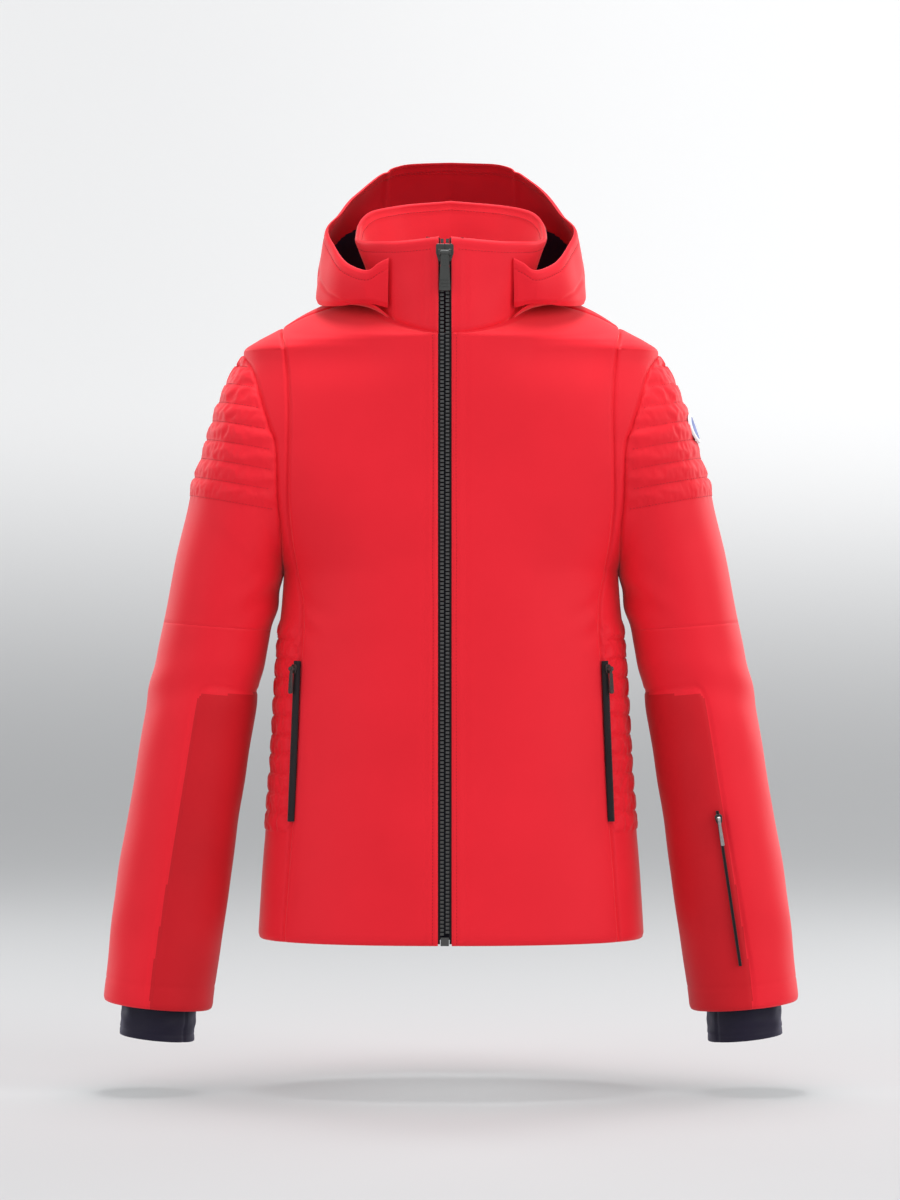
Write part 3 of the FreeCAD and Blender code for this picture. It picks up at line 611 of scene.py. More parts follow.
# outer x and level, inner x and level, half depth, depth centre
SLEEVE = np.array([
    (203.0, -32.0, 164.0, -246.0, 75.0, 0.0),
    (217.6, -57.8, 164.2, -249.0, 77.0, 0.0),
    (227.5, -84.0, 164.5, -252.0, 77.5, 0.0),
    (243.0, -132.0, 165.0, -256.0, 77.0, 0.0),
    (252.8, -162.7, 165.4, -259.0, 76.0, 0.0),
    (258.5, -190.0, 166.0, -262.0, 74.0, 0.0),
    (268.5, -231.3, 167.2, -268.0, 72.0, 0.0),
    (280.3, -290.1, 175.0, -300.0, 69.0, -1.0),
    (293.5, -352.8, 188.0, -363.0, 66.5, -3.0),
    (306.7, -431.2, 200.5, -441.0, 64.0, -8.0),
    (328.3, -564.5, 219.5, -574.0, 59.5, -17.0),
    (338.1, -662.5, 232.3, -672.3, 56.0, -24.0),
])
SLEEVE_RUN = np.concatenate([[0], np.cumsum(np.hypot(np.diff(SLEEVE[:, 0]), np.diff(SLEEVE[:, 1])))])
sleeve_columns = [curve_through(SLEEVE_RUN, SLEEVE[:, i]) for i in range(6)]
run_at_outer_level = curve_through(-SLEEVE[:, 1], SLEEVE_RUN)
outer_x_at_level = curve_through(SLEEVE[::-1, 1], SLEEVE[::-1, 0])
UNDER_SEAM = np.array([
    (180.0, -364.5), (190.0, -363.5), (206.0, -361.0), (226.0, -358.0), (235.0, -357.5), (241.0, -361.0),
    (245.0, -370.0), (247.5, -382.0), (251.5, -406.0), (264.0, -488.0), (276.5, -561.0), (288.0, -630.0),
    (291.5, -672.0),
])


def sleeve_grid(runs, columns):
    """Sleeve points on the wearer's left; angle 0 is the outer edge, a quarter turn the front."""
    ox, oz, ix, iz, depth, middle = (f(runs)[:, None] for f in sleeve_columns)
    turn = np.linspace(0, 2 * math.pi, columns, endpoint=False)[None, :]
    across = np.cos(turn)
    x = (ox + ix) / 2 + (ox - ix) / 2 * across
    z = (oz + iz) / 2 + (oz - iz) / 2 * across
    y = middle - depth * np.sin(turn)
    hole = np.where(np.sin(turn) > 0, armhole_front_x(z), armhole_back_x(z))
    plane = 164.0 + (z - ARMPIT) * (203.0 - 164.0) / (ARMHOLE_TOP - ARMPIT)
    fade = peak(runs[:, None], 26)
    inside = (z > ARMPIT) & (z < ARMHOLE_TOP)
    x = x + np.where(inside, (hole - plane) * fade, 0.0)
    return np.stack([x, y, z], axis=-1)


def polyline_distance(points, line):
    """Distance in the front view from each point to a line of given corners."""
    best = np.full(points.shape[:-1], 1e9)
    flat = points[..., [0, 2]]
    for a, b in zip(line[:-1], line[1:]):
        span = b - a
        share = np.clip(((flat - a) @ span) / (span @ span), 0, 1)
        best = np.minimum(best, np.linalg.norm(flat - (a + share[..., None] * span), axis=-1))
    return best


def cap_quilt_coordinate(points):
    x = np.abs(points[..., 0])
    z = points[..., 2]
    return z + 0.17 * (outer_x_at_level(z) - x)


def arm_folds(points):
    """Soft diagonal drag lines below the armpit and above the elbow."""
    x, y, z = points[..., 0], points[..., 1], points[..., 2]
    under = peak(z + 275, 30) * peak(x - 172, 30)
    elbow = peak(z + 352, 26)
    return 1.5 * under * np.sin((z + 0.7 * x) / 5.5) + 0.9 * elbow * np.sin((z + 0.25 * x + 0.2 * y) / 8.0)


def upper_sleeve(name, hand):
    end = float(run_at_outer_level(-SLEEVE_SPLIT))
    runs = np.concatenate([levels_between(0, 170, 1.9), levels_between(173, end, 4.0)])
    points = sleeve_grid(runs, 216)
    normals = outward_normals(points, points.mean(axis=1, keepdims=True), True)
    coordinate = cap_quilt_coordinate(points)
    puff, nearest = quilt(coordinate, CAP_QUILT_TOP, CAP_QUILT_PITCH, CAP_QUILT_ROWS - 1)
    hold = np.minimum(1, runs / 14)[:, None] ** 0.8
    inner = np.clip((points[..., 0] - 168) / 13, 0, 1)
    puff = puff * hold * inner
    away = 1 - peak(runs, 12)[:, None]
    soft = arm_folds(points) + 0.8 * ripple(points, 120, 51)
    shaped = points + normals * (2.0 * puff + soft * away)[..., None]
    lowest = CAP_QUILT_TOP - CAP_QUILT_PITCH * (CAP_QUILT_ROWS - 1)
    held = (nearest < 1.0) | (coordinate < lowest) | (inner < 0.02)
    held[0] = held[-1] = True
    shaped = puffed(shaped, held, -0.7 * sheet_sign(points, normals), 0.03, 1.5, closed=True)
    pucker = ripple(points * [1.0, 1.0, 0.08], 9, 53) * peak(nearest, 6) * hold * inner
    below = np.clip((coordinate + 172.0 + 14) / 14, 0, 1)
    shaped = shaped + normals * (0.5 * pucker * below)[..., None]
    from_ring = np.linalg.norm(points - points[:1], axis=-1)
    shaped = armhole_pull(shaped, normals, from_ring)
    shaped[..., 0] *= hand
    normals = normals * [hand, 1, 1]
    builder = Builder()
    sheet_solid(builder, shaped, normals, SLEEVE_THICKNESS, closed=True, marks=(0, 1, 0))
    piece = builder.piece(f"sleeve_top_{name}", [SHELL, NAVY], None, "shell_fabric")
    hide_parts(f"sleeve_cap_{name}", f"upper_sleeve_{name}", f"upper_sleeve_lining_{name}")
    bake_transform(piece)
    cap_stitches(name, shaped, normals, coordinate, runs, inner)


def lower_sleeve(name, hand):
    start = float(run_at_outer_level(-SLEEVE_SPLIT))
    runs = levels_between(start, SLEEVE_RUN[-1], 2.4)
    points = sleeve_grid(runs, 216)
    normals = outward_normals(points, points.mean(axis=1, keepdims=True), True)
    seam = polyline_distance(points, UNDER_SEAM)
    depth = valley(seam, 1.5, 2.2)
    cuff = 1.2 * peak(runs[-1] - runs, 2.0)[:, None] + 0.4 * peak(runs[-1] - runs - 22, 1.3)[:, None]
    below = np.clip((runs - start) / 40, 0, 1)[:, None]
    soft = 0.8 * ripple(points, 120, 51) + 0.9 * ripple(points, 55, 57) * below
    shaped = points + normals * (arm_folds(points) + soft - depth - cuff)[..., None]
    edge = UNDER_SEAM[:, 1][::-1], UNDER_SEAM[:, 0][::-1]
    seam_at = np.interp(points[..., 2], edge[0], edge[1])
    under = (points[..., 0] < seam_at) & (points[..., 2] < -358)
    shaped[..., 0] *= hand
    normals = normals * [hand, 1, 1]
    builder = Builder()
    sheet_solid(builder, shaped, normals, SLEEVE_THICKNESS, closed=True, marks=(0, 2, 0))
    rows, columns = shaped.shape[:2]
    marks = np.array(builder.marks)
    faces = marks[: (rows + 1) * columns].reshape(rows + 1, columns)
    faces[1:-1][under[:-1]] = 1
    faces[-1] = faces[-2]
    builder.marks = [int(v) for v in np.concatenate([faces.ravel(), marks[(rows + 1) * columns:]])]
    piece = builder.piece(f"sleeve_low_{name}", [SHELL, UNDER, NAVY], None, "shell_fabric")
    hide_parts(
        f"elbow_fabric_{name}",
        f"lower_sleeve_outer_{name}",
        f"lower_sleeve_under_{name}",
        f"lower_sleeve_lining_{name}",
    )
    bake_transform(piece)
    return shaped, normals, runs


def gaiter(name, hand):
    """A close knitted cuff with crushed folds, inside the end of the sleeve."""
    rows, columns = 70, 140
    share = np.linspace(0, 1, rows)
    ox = curve_through([0, 0.4, 1], [325.0, 320.0, 322.6])(share)[:, None]
    oz = curve_through([0, 0.4, 1], [-606.0, -642.0, -695.5])(share)[:, None]
    ix = curve_through([0, 0.4, 1], [231.5, 246.0, 250.0])(share)[:, None]
    iz = curve_through([0, 0.4, 1], [-615.0, -650.0, -703.0])(share)[:, None]
    depth = curve_through([0, 0.4, 1], [49.0, 42.0, 39.5])(share)[:, None]
    middle = curve_through([0, 1], [-20.0, -25.0])(share)[:, None]
    turn = np.linspace(0, 2 * math.pi, columns, endpoint=False)[None, :]
    points = np.stack([
        (ox + ix) / 2 + (ox - ix) / 2 * np.cos(turn),
        middle - depth * np.sin(turn),
        (oz + iz) / 2 + (oz - iz) / 2 * np.cos(turn),
    ], axis=-1)
    normals = outward_normals(points, points.mean(axis=1, keepdims=True), True)
    folds = ripple(points * [1.0, 1.0, 2.2], 46, 61 + int(hand))
    folds = folds + 0.6 * ripple(points * [0.8, 0.8, 1.6], 19, 63)
    calm = np.clip((1 - share) / 0.12, 0.15, 1)[:, None]
    hem = 0.5 * peak(share - 0.93, 0.012)[:, None]
    seam = valley(np.abs(turn - math.pi * 0.78) * 38, 0.9, 1.6)
    points = points + normals * (1.5 * folds * calm - hem - seam)[..., None]
    points[..., 0] *= hand
    normals = normals * [hand, 1, 1]
    body = f"lower_sleeve_{name}"
    piece = sheet_piece(f"gaiter_{name}", [GAITER], body, "gaiter_knit", points, normals, 1.1, closed=True)
    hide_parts(f"wrist_gaiter_{name}")


# Stitches ------------------------------------------------------------------------------------------

def stitch_row(builder, path, normals, pitch=3.2, length=2.1, radius=0.28, lift=0.12):
    """Short thread beads along a path that lies on the cloth."""
    steps = np.linalg.norm(np.diff(path, axis=0), axis=1)
    run = np.concatenate([[0], np.cumsum(steps)])
    count = int(run[-1] / pitch)
    if count < 1:
        return
    centres = (np.arange(count) + 0.5) * pitch
    place = np.stack([np.interp(centres, run, path[:, i]) for i in range(3)], axis=-1)
    ahead = np.stack([np.interp(centres + 0.6, run, path[:, i]) for i in range(3)], axis=-1)
    normal = np.stack([np.interp(centres, run, normals[:, i]) for i in range(3)], axis=-1)
    for centre, front, up in zip(place, ahead, normal):
        along = front - centre
        size = np.linalg.norm(along)
        if size < 1e-6:
            continue
        along /= size
        up = up / max(np.linalg.norm(up), 1e-9)
        side = np.cross(along, up)
        points = []
        for t, r in ((-0.5, 0.35), (-0.3, 1.0), (0.3, 1.0), (0.5, 0.35)):
            middle = centre + along * t * length + up * lift
            for s in (0, 1, 2, 3):
                a = math.pi / 2 * s + math.pi / 4
                points.append(middle + (side * math.cos(a) * 1.2 + up * math.sin(a)) * r * radius)
        faces = []
        for i in range(3):
            for s in range(4):
                k = (s + 1) % 4
                faces.append((4 * i + s, 4 * i + k, 4 * i + 4 + k, 4 * i + 4 + s))
        faces += [(3, 2, 1, 0), (12, 13, 14, 15)]
        builder.add(points, faces)


def cap_stitches(name, points, normals, coordinate, runs, inner):
    """Stitching along each quilted row of the sleeve's cap."""
    builder = Builder()
    for row in range(CAP_QUILT_ROWS):
        target = CAP_QUILT_TOP - CAP_QUILT_PITCH * row
        path, ups = [], []
        order = list(range(108, 216)) + list(range(0, 108))
        for j in order:
            column = coordinate[:, j]
            crossing = np.flatnonzero((column[:-1] > target) & (column[1:] <= target))
            if len(crossing) == 0:
                continue
            i = crossing[0]
            if inner[i, j] < 0.1 or runs[i] < 3:
                continue
            t = (column[i] - target) / (column[i] - column[i + 1])
            path.append(points[i, j] * (1 - t) + points[i + 1, j] * t)
            ups.append(normals[i, j])
        if len(path) > 4:
            stitch_row(builder, np.array(path), np.array(ups))
    if builder.count == 0:
        return
    piece = builder.piece(f"cap_stitches_{name}", [THREAD], None, "shell_fabric")
    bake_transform(piece)


# Collar and hood -----------------------------------------------------------------------------------

COLLAR_TOP = np.array([
    (0.00, 13.0, -84.5, 73.0), (0.18, 59.0, -71.0, 69.0), (0.30, 82.0, -51.0, 70.0),
    (0.41, 94.0, -24.0, 77.0), (0.53, 93.0, 8.0, 91.0), (0.66, 83.0, 37.0, 106.0),
    (0.82, 50.0, 67.0, 116.0), (1.00, 0.0, 75.0, 121.5),
])
NECK_LEVEL, NECK_SLOPE, NECK_HALF_WIDTH, NECK_BACK = 23.6, 0.47, 76.0, 66.0


def both_sides(half):
    """A path given from the front to the back centre on +X, carried on round to the front on -X."""
    return np.concatenate([half, half[-2::-1] * [-1, 1, 1]])


def through_rows(table, shares):
    """Points of a smooth path given as rows of share, x, y and level."""
    return np.stack([curve_through(table[:, 0], table[:, i])(shares) for i in (1, 2, 3)], axis=-1)


def neck_ring(shares, x_front):
    """The neck seam from beside the zip (share 0) to the back centre (share 1)."""
    start = math.acos(x_front / NECK_HALF_WIDTH)
    turn = start - (start + math.pi / 2) * shares
    depth = np.where(np.sin(turn) > 0, front_line(-16.0), NECK_BACK)
    y = -depth * np.sin(turn)
    return np.stack([NECK_HALF_WIDTH * np.cos(turn), y, NECK_LEVEL + NECK_SLOPE * y], axis=-1)


def collar():
    shares = np.linspace(0, 1, 110)
    rise = np.linspace(0, 1, 46)[:, None, None]
    halves = []
    for hand in (1, -1):
        edge = hand * ZIP_X + FRONT_GAP
        top = COLLAR_TOP.copy()
        top[0, 1] = edge
        low = neck_ring(shares, edge)
        high = through_rows(top, shares)
        stand = 0.35 * rise * (1 - rise)
        bend = low + (high - low) * (rise + stand * [[[-1, -1, 0]]])
        halves.append(bend * [hand, 1, 1])
    points = np.concatenate([halves[0], halves[1][:, -2::-1]], axis=1)
    normals = outward_normals(points, [0, 0, 60.0])
    one, other = edge_distance(points)
    near = np.minimum(one, other)
    height = points[..., 2] - points[:1, :, 2]
    drop = points[-1:, :, 2] - points[..., 2]
    depth = 1.3 * peak(height, 2.4) + 0.7 * peak(drop, 1.6) + 0.35 * peak(drop - 8, 1.1)
    depth -= 0.5 * peak(near - 2.2, 1.6)
    depth += 0.5 * peak(near - 4.8, 0.9) + 0.45 * peak(near - 13.5, 2.5)
    dart = np.abs(np.abs(points[..., 0]) - 58.0) + np.where(points[..., 1] > 0, 90.0, 0.0)
    depth += 0.9 * peak(dart, 1.6) * peak(height, 30)
    soft = 1.1 * ripple(points, 60, 71) * np.clip(height / 25, 0, 1) * np.clip(near / 30, 0, 1)
    points = points + normals * (soft - depth)[..., None]
    piece = sheet_piece("neck_collar", [SHELL], "shell", "shell_fabric", points, normals, COLLAR_THICKNESS)
    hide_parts("collar", "collar_lining")
    threads = Builder()
    inside = points - normals * COLLAR_THICKNESS
    row = int(np.argmin(np.abs(drop[:, 100] - 8)))
    stitch_row(threads, points[row, 2:-2], normals[row, 2:-2])
    stitch_row(threads, inside[row, 2:-2], -normals[row, 2:-2])
    threads.piece("collar_stitches", [THREAD], "shell", "shell_fabric")


# share from the front tab to the back centre, then x, y and level
HOOD_BRIM = np.array([
    (0.00, 60.0, -72.5, 53.5), (0.05, 69.0, -72.5, 49.0), (0.12, 81.0, -69.5, 42.5),
    (0.22, 100.0, -55.0, 50.0), (0.34, 116.0, -28.0, 70.0), (0.44, 123.5, -2.0, 87.5),
    (0.56, 111.0, 28.0, 107.0), (0.70, 84.0, 64.0, 141.0), (0.83, 57.0, 88.0, 160.0),
    (0.90, 40.0, 94.5, 163.5), (1.00, 0.0, 98.0, 165.0),
])
HOOD_MIDDLE = np.array([
    (0.00, 60.5, -68.5, 32.0), (0.12, 82.0, -68.0, 27.0), (0.22, 106.0, -55.0, 30.0),
    (0.34, 122.0, -30.0, 38.0), (0.44, 130.0, -2.0, 50.0), (0.56, 129.0, 36.0, 66.0),
    (0.70, 108.0, 84.0, 92.0), (0.83, 68.0, 118.0, 104.0), (1.00, 0.0, 130.0, 106.0),
])
HOOD_HEM = np.array([
    (0.00, 61.0, -63.5, 8.0), (0.12, 80.0, -64.0, 11.5), (0.22, 106.0, -51.0, 10.5),
    (0.34, 124.0, -28.0, 12.5), (0.44, 132.0, 0.0, 16.5), (0.56, 132.0, 36.0, 23.0),
    (0.70, 112.0, 82.0, 29.0), (0.83, 70.0, 112.0, 32.0), (1.00, 0.0, 121.0, 33.5),
])
CORNER_SEAM = np.array([(133.0, 52.0), (129.0, 38.0), (121.0, 25.0), (108.0, 15.0), (100.0, 11.0)])


def hood_blend(piece):
    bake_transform(piece)


def hood():
    shares = np.linspace(0, 1, 150)
    rows = np.linspace(0, 1, 72)[:, None, None]
    low, middle, high = (both_sides(through_rows(t, shares)) for t in (HOOD_HEM, HOOD_MIDDLE, HOOD_BRIM))
    control = 2 * middle - (low + high) / 2
    points = (1 - rows) ** 2 * low + 2 * rows * (1 - rows) * control + rows ** 2 * high
    normals = outward_normals(points, [0, 10, 60.0])
    up = np.linalg.norm(np.diff(points, axis=0), axis=-1)
    height = np.concatenate([np.zeros((1, points.shape[1])), np.cumsum(up, axis=0)])
    drop = height[-1:] - height
    from_tab = np.minimum(*edge_distance(points))
    across = np.abs(points[..., 0])
    depth = 0.8 * peak(drop, 1.8) + 0.45 * peak(drop - 9, 1.1)
    depth += 1.8 * peak(height, 3.0) + 0.8 * peak(from_tab, 2.0)
    behind = points[..., 1] > 30
    crown_seam = np.where(behind, np.abs(across - 66 - 6 * (1 - rows[..., 0])), 99.0)
    depth += valley(crown_seam, 1.4, 2.2)
    corner = np.where(points[..., 1] < 40, polyline_distance(np.abs(points), CORNER_SEAM), 99.0)
    depth += valley(corner, 1.2, 1.8)
    soft = 1.6 * ripple(points, 95, 81) + 0.7 * ripple(points, 45, 83)
    points = points + normals * (soft * np.clip(from_tab / 25, 0, 1) - depth)[..., None]
    builder = Builder()
    sheet_solid(builder, points, normals, HOOD_THICKNESS, marks=(0, 1, 0))
    rows_count, columns = points.shape[:2]
    outer_faces = (rows_count + 1) * (columns - 1)
    marks = np.array(builder.marks)
    inside = marks[outer_faces: 2 * outer_faces].reshape(rows_count + 1, columns - 1)
    facing = np.concatenate([drop[:1], drop, drop[-1:]])[:-1, :-1] < 62
    inside[facing] = 2
    builder.marks = [int(v) for v in marks]
    piece = builder.piece("hood_shell", [SHELL, NAVY, FACING], None, "shell_fabric")
    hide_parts("hood_side_left", "hood_side_right", "hood_crown", "hood_lining", "hood_facing")
    hood_blend(piece)
    threads = Builder()
    for line in (9.0, 12.0):
        path, ups = [], []
        for j in range(3, columns - 3):
            i = int(np.argmin(np.abs(drop[:, j] - line)))
            path.append(points[i, j])
            ups.append(normals[i, j])
        if line < 10:
            stitch_row(threads, np.array(path), np.array(ups))
        stitch_row(threads, np.array(path) - np.array(ups) * HOOD_THICKNESS, -np.array(ups))
    stitches = threads.piece("hood_stitches", [THREAD], None, "shell_fabric")
    hood_blend(stitches)
    hood_base(points[0] - normals[0] * 1.2)


def hood_base(edge):
    """The hood's underside, from its lower edge in to the neck seam."""
    shares = np.linspace(0, 1, 150)
    neck = both_sides(neck_ring(shares, 40.0)) * [1.05, 1.05, 1.0] + [0, 0, 1.5]
    first = 18
    edge, neck = edge[first:-first], neck[first:-first]
    t = np.linspace(0, 1, 18)[:, None, None]
    points = edge + (neck - edge) * t + np.array([0, 0, 5.0]) * (t * (1 - t))
    normals = grid_normals(points)
    if normals[..., 2].mean() > 0:
        normals = -normals
    piece = sheet_piece("hood_underside", [SHELL], None, "shell_fabric", points, normals, 1.2)
    hood_blend(piece)


# Zips and small hardware ---------------------------------------------------------------------------

def joint(name):
    return next(j for j in frame["joints"] if j["name"] == name)


def hardware_frame(prefix):
    """Pin centre in millimetres, and unit vectors across, down and out of a slider and its pull."""
    hinge = joint(f"{prefix}_pull_hinge")
    slide = joint(f"{prefix}_slide")
    pin = np.array(hinge["pos_m"]) / MM
    across = np.array(hinge["axis"], float)
    down = np.array(slide["axis"], float)
    across /= np.linalg.norm(across)
    down /= np.linalg.norm(down)
    return pin, across, down, np.cross(across, down)


def profile_plate(builder, outline, z_low, z_high, bevel=0.35, mark=0):
    """A flat plate with softened rims: outline points (across, down), between two heights."""
    outline = np.array(outline, float)
    centre = outline.mean(axis=0)
    length = np.linalg.norm(outline - centre, axis=1, keepdims=True)
    small = centre + (outline - centre) * (1 - bevel / np.maximum(length, 1e-6))
    rings = [(small, z_low), (outline, z_low + bevel), (outline, z_high - bevel), (small, z_high)]
    count = len(outline)
    points = np.concatenate([np.column_stack([ring, np.full(count, z)]) for ring, z in rings])
    faces = []
    for k in range(3):
        for i in range(count):
            j = (i + 1) % count
            faces.append((k * count + i, k * count + j, (k + 1) * count + j, (k + 1) * count + i))
    faces.append(tuple(range(count))[::-1])
    faces.append(tuple(range(3 * count, 4 * count)))
    builder.add(points, faces, mark)


def rounded_rectangle(width, low, high, radius, taper=1.0, steps=4):
    """Outline points (across, down); taper is the top's width as a share of the bottom's."""
    outline = []
    corners = (
        (width / 2 * taper - radius, low + radius, -90, 0), (width / 2 - radius, high - radius, 0, 90),
        (-width / 2 + radius, high - radius, 90, 180), (-width / 2 * taper + radius, low + radius, 180, 270),
    )
    for x, y, start, end in corners:
        for i in range(steps + 1):
            turn = math.radians(start + (end - start) * i / steps)
            outline.append((x + radius * math.cos(turn), y + radius * math.sin(turn)))
    return outline


def tube(builder, radius, hole, half_length, sides=28):
    """A round eye about the pin's axis, with a hole along it."""
    points, faces = [], []
    for x, r in ((-half_length, hole), (-half_length, radius), (half_length, radius), (half_length, hole)):
        for i in range(sides):
            turn = 2 * math.pi * i / sides
            points.append((x, r * math.cos(turn), r * math.sin(turn)))
    for k in range(4):
        n = (k + 1) % 4
        for i in range(sides):
            j = (i + 1) % sides
            faces.append((k * sides + i, k * sides + j, n * sides + j, n * sides + i))
    builder.add(points, faces)


def placed(builder, prefix, name, material, body, slot, node, shift=(0, 0, 0)):
    """Turns a piece built about its pin to its place, and gives it to its body."""
    pin, across, down, out = hardware_frame(prefix)
    basis = np.stack([across, down, out])
    builder.points = [(p + np.array(shift)) @ basis + pin for p in builder.points]
    piece = builder.piece(name, [material], body, slot, sharp=32)
    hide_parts(node)
    return piece


def pull_tab(prefix, node, width, length, thickness, material, slot, ribs, eye_half):
    builder = Builder()
    half = thickness / 2
    tube(builder, 2.4, 1.35, eye_half)
    profile_plate(builder, rounded_rectangle(eye_half * 2, 1.9, 5.2, 0.4), -half * 0.9, half * 0.9)
    profile_plate(builder, rounded_rectangle(width, 3.6, length, min(1.6, width * 0.3), 0.72), -half, half)
    start = 5.6
    boss = rounded_rectangle(width * 0.3, start, start + length * 0.2, 0.5)
    profile_plate(builder, boss, half - 0.5, half + 0.25)
    for i in range(ribs):
        top = length - 4.0 - i * 3.1 * min(1, length / 30)
        rib = rounded_rectangle(width * 0.72, top - 1.5, top, 0.6)
        profile_plate(builder, rib, half - 0.4, half + 0.45, 0.3)
    placed(builder, prefix, f"{node}_piece", material, node, slot, node)


def slider_body(prefix, node, wide, long, low, high, plate, ear, material):
    """Two rounded plates on a narrow post, with the bridge that holds the pull's pin."""
    builder = Builder()
    pin_height = high + plate + ear - 1.6
    half = long / 2

    def shield(width):
        return [
            (-width / 2, -half + 1.5), (-width / 2 + 1.2, -half),
            (width / 2 - 1.2, -half), (width / 2, -half + 1.5),
            (width / 2, 0.5), (width * 0.36, half - 0.8), (width * 0.28, half), (-width * 0.28, half),
            (-width * 0.36, half - 0.8), (-width / 2, 0.5),
        ]

    profile_plate(builder, shield(wide), high - pin_height, high + plate - pin_height, 0.4)
    profile_plate(builder, shield(wide * 0.7), -low - plate - pin_height, -low - pin_height, 0.3)
    post = [(-0.6, -half), (0.6, -half), (0.6, -half + 0.45 * long), (-0.6, -half + 0.45 * long)]
    profile_plate(builder, post, -low - plate - pin_height, high + plate - pin_height, 0.1)
    for hand in (-1, 1):
        x = hand * wide * 0.3
        wall = wide * 0.05
        reach = wide * 0.16
        cheek = [(x - wall, -reach), (x + wall, -reach), (x + wall, reach), (x - wall, reach)]
        profile_plate(builder, cheek, high + plate - pin_height - 0.2, 1.6, 0.2)
    tube(builder, 1.0, 0.2, wide * 0.3, 20)
    placed(builder, prefix, f"{node}_piece", material, node, "slider_metal", node)


def main_zip():
    pull_tab("zip", "zip_pull", 11.0, 37.0, 2.4, PULL, "pull_moulded", 3, 3.9)
    slider_body("zip", "zip_slider", 17.0, 17.0, 2.0, 3.9, 1.4, 4.2, METAL)
    levels = np.concatenate([levels_between(-602, -36, 6.0), levels_between(-32, 22, 3.0)])
    for name, hand in SIDES:
        near = hand * ZIP_X + 4.5
        far = hand * ZIP_X + 18.0
        shares = np.linspace(0, 1, 12)[None, :]
        x = near + (far - near) * shares
        angles = np.stack([angle_of(levels, x[0, i], False) for i in range(12)], axis=1)
        points = torso_grid(levels, angles, False)
        step = np.array([0, -FRONT_AT_TOP, ZIP_TOP]) - [0, points[-1, 0, 1], points[-1, 0, 2]]
        top = points[-1:] + step * [0, 1, 1]
        climb = points[-1:] + (top - points[-1:]) * np.linspace(0, 1, 18)[1:, None, None]
        points = np.concatenate([points, climb]) * [hand, 1, 1]
        points[..., 1] += 3.0
        normals = np.zeros_like(points)
        normals[..., 1] = -1.0
        points = points + normals * (0.12 * np.sin(shares * 60))[..., None]
        piece = sheet_piece(f"chain_tape_{name}", [TAPE], "shell", "zip_tape", points, normals, 0.8)
        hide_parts(f"zip_tape_{name}")
        paint(f"zip_teeth_{name}", PLASTIC)
        paint(f"zip_top_stop_{name}", PLASTIC)
    paint("zip_bottom_box", PLASTIC)


def paint(node, material):
    data = frame["nodes"][node].data
    data.materials.clear()
    data.materials.append(material)


def coil_strip(name, node, start, end, out, half, lift, body):
    """A closed coil zip: its two rows of loops between ribbed tapes."""
    down = end - start
    length = np.linalg.norm(down)
    down = down / length
    across = np.cross(down, out)
    across /= np.linalg.norm(across)
    builder = Builder()
    stations = np.linspace(0, length, int(length / 0.55))
    edge = np.array([-half, -half + 0.25, -1.25, -1.05, -0.1, 0.0, 0.1, 1.05, 1.25, half - 0.25, half])
    shape = np.array([-lift, 0.15, 0.2, 0.7, 0.85, 0.5, 0.85, 0.7, 0.2, 0.15, -lift])
    loops = np.array([0, 0, 0, 1, 1, 0.4, 1, 1, 0, 0, 0])
    sides = np.array([1, 1, 1, 1, 1, 0, -1, -1, 1, 1, 1])
    wave = np.sin(stations[:, None] * 2 * math.pi / 1.9 + np.where(sides[None, :] < 0, math.pi, 0.0))
    height = shape[None, :] + 0.32 * loops[None, :] * wave
    points = start + down * stations[:, None, None] + across * edge[None, :, None] + out * height[..., None]
    flip = orientation(points, np.broadcast_to(out, points.shape))
    builder.grid(points, False, flip)
    for row, turn in ((0, False), (-1, True)):
        cap = np.stack([points[row], points[row] - out * (height[row] + lift)[:, None]], axis=0)
        builder.grid(cap, False, turn != flip)
    piece = builder.piece(name, [TAPE], body, "zip_tape")
    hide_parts(node)


def small_zips():
    for prefix, node, body, length in (
        ("pocket_left", "pocket_zip_left", "shell", 155.0),
        ("pocket_right", "pocket_zip_right", "shell", 155.0),
        ("pass", "pass_zip", "lower_sleeve_left", 150.4),
    ):
        pin, across, down, out = hardware_frame(prefix)
        rise = 1.3 + 1.4 + 4.2 - 1.6
        start = pin - out * rise - down * 8.0
        half = 2.7 if body == "shell" else 1.5
        lift = 4.2 if body == "shell" else 3.6
        coil_strip(f"{prefix}_chain", node, start, start + down * length, out, half, lift, body)
        slider_body(prefix, f"{prefix}_slider", 7.0, 9.0, 1.3, 1.3, 1.4, 4.2, METAL)
        if body == "shell":
            pull_tab(prefix, f"{prefix}_pull", 5.0, 24.0, 1.8, PULL, "pull_moulded", 4, 1.45)
        else:
            pull_tab(prefix, f"{prefix}_pull", 3.6, 26.0, 1.4, STEEL, "pull_metal", 2, 1.45)


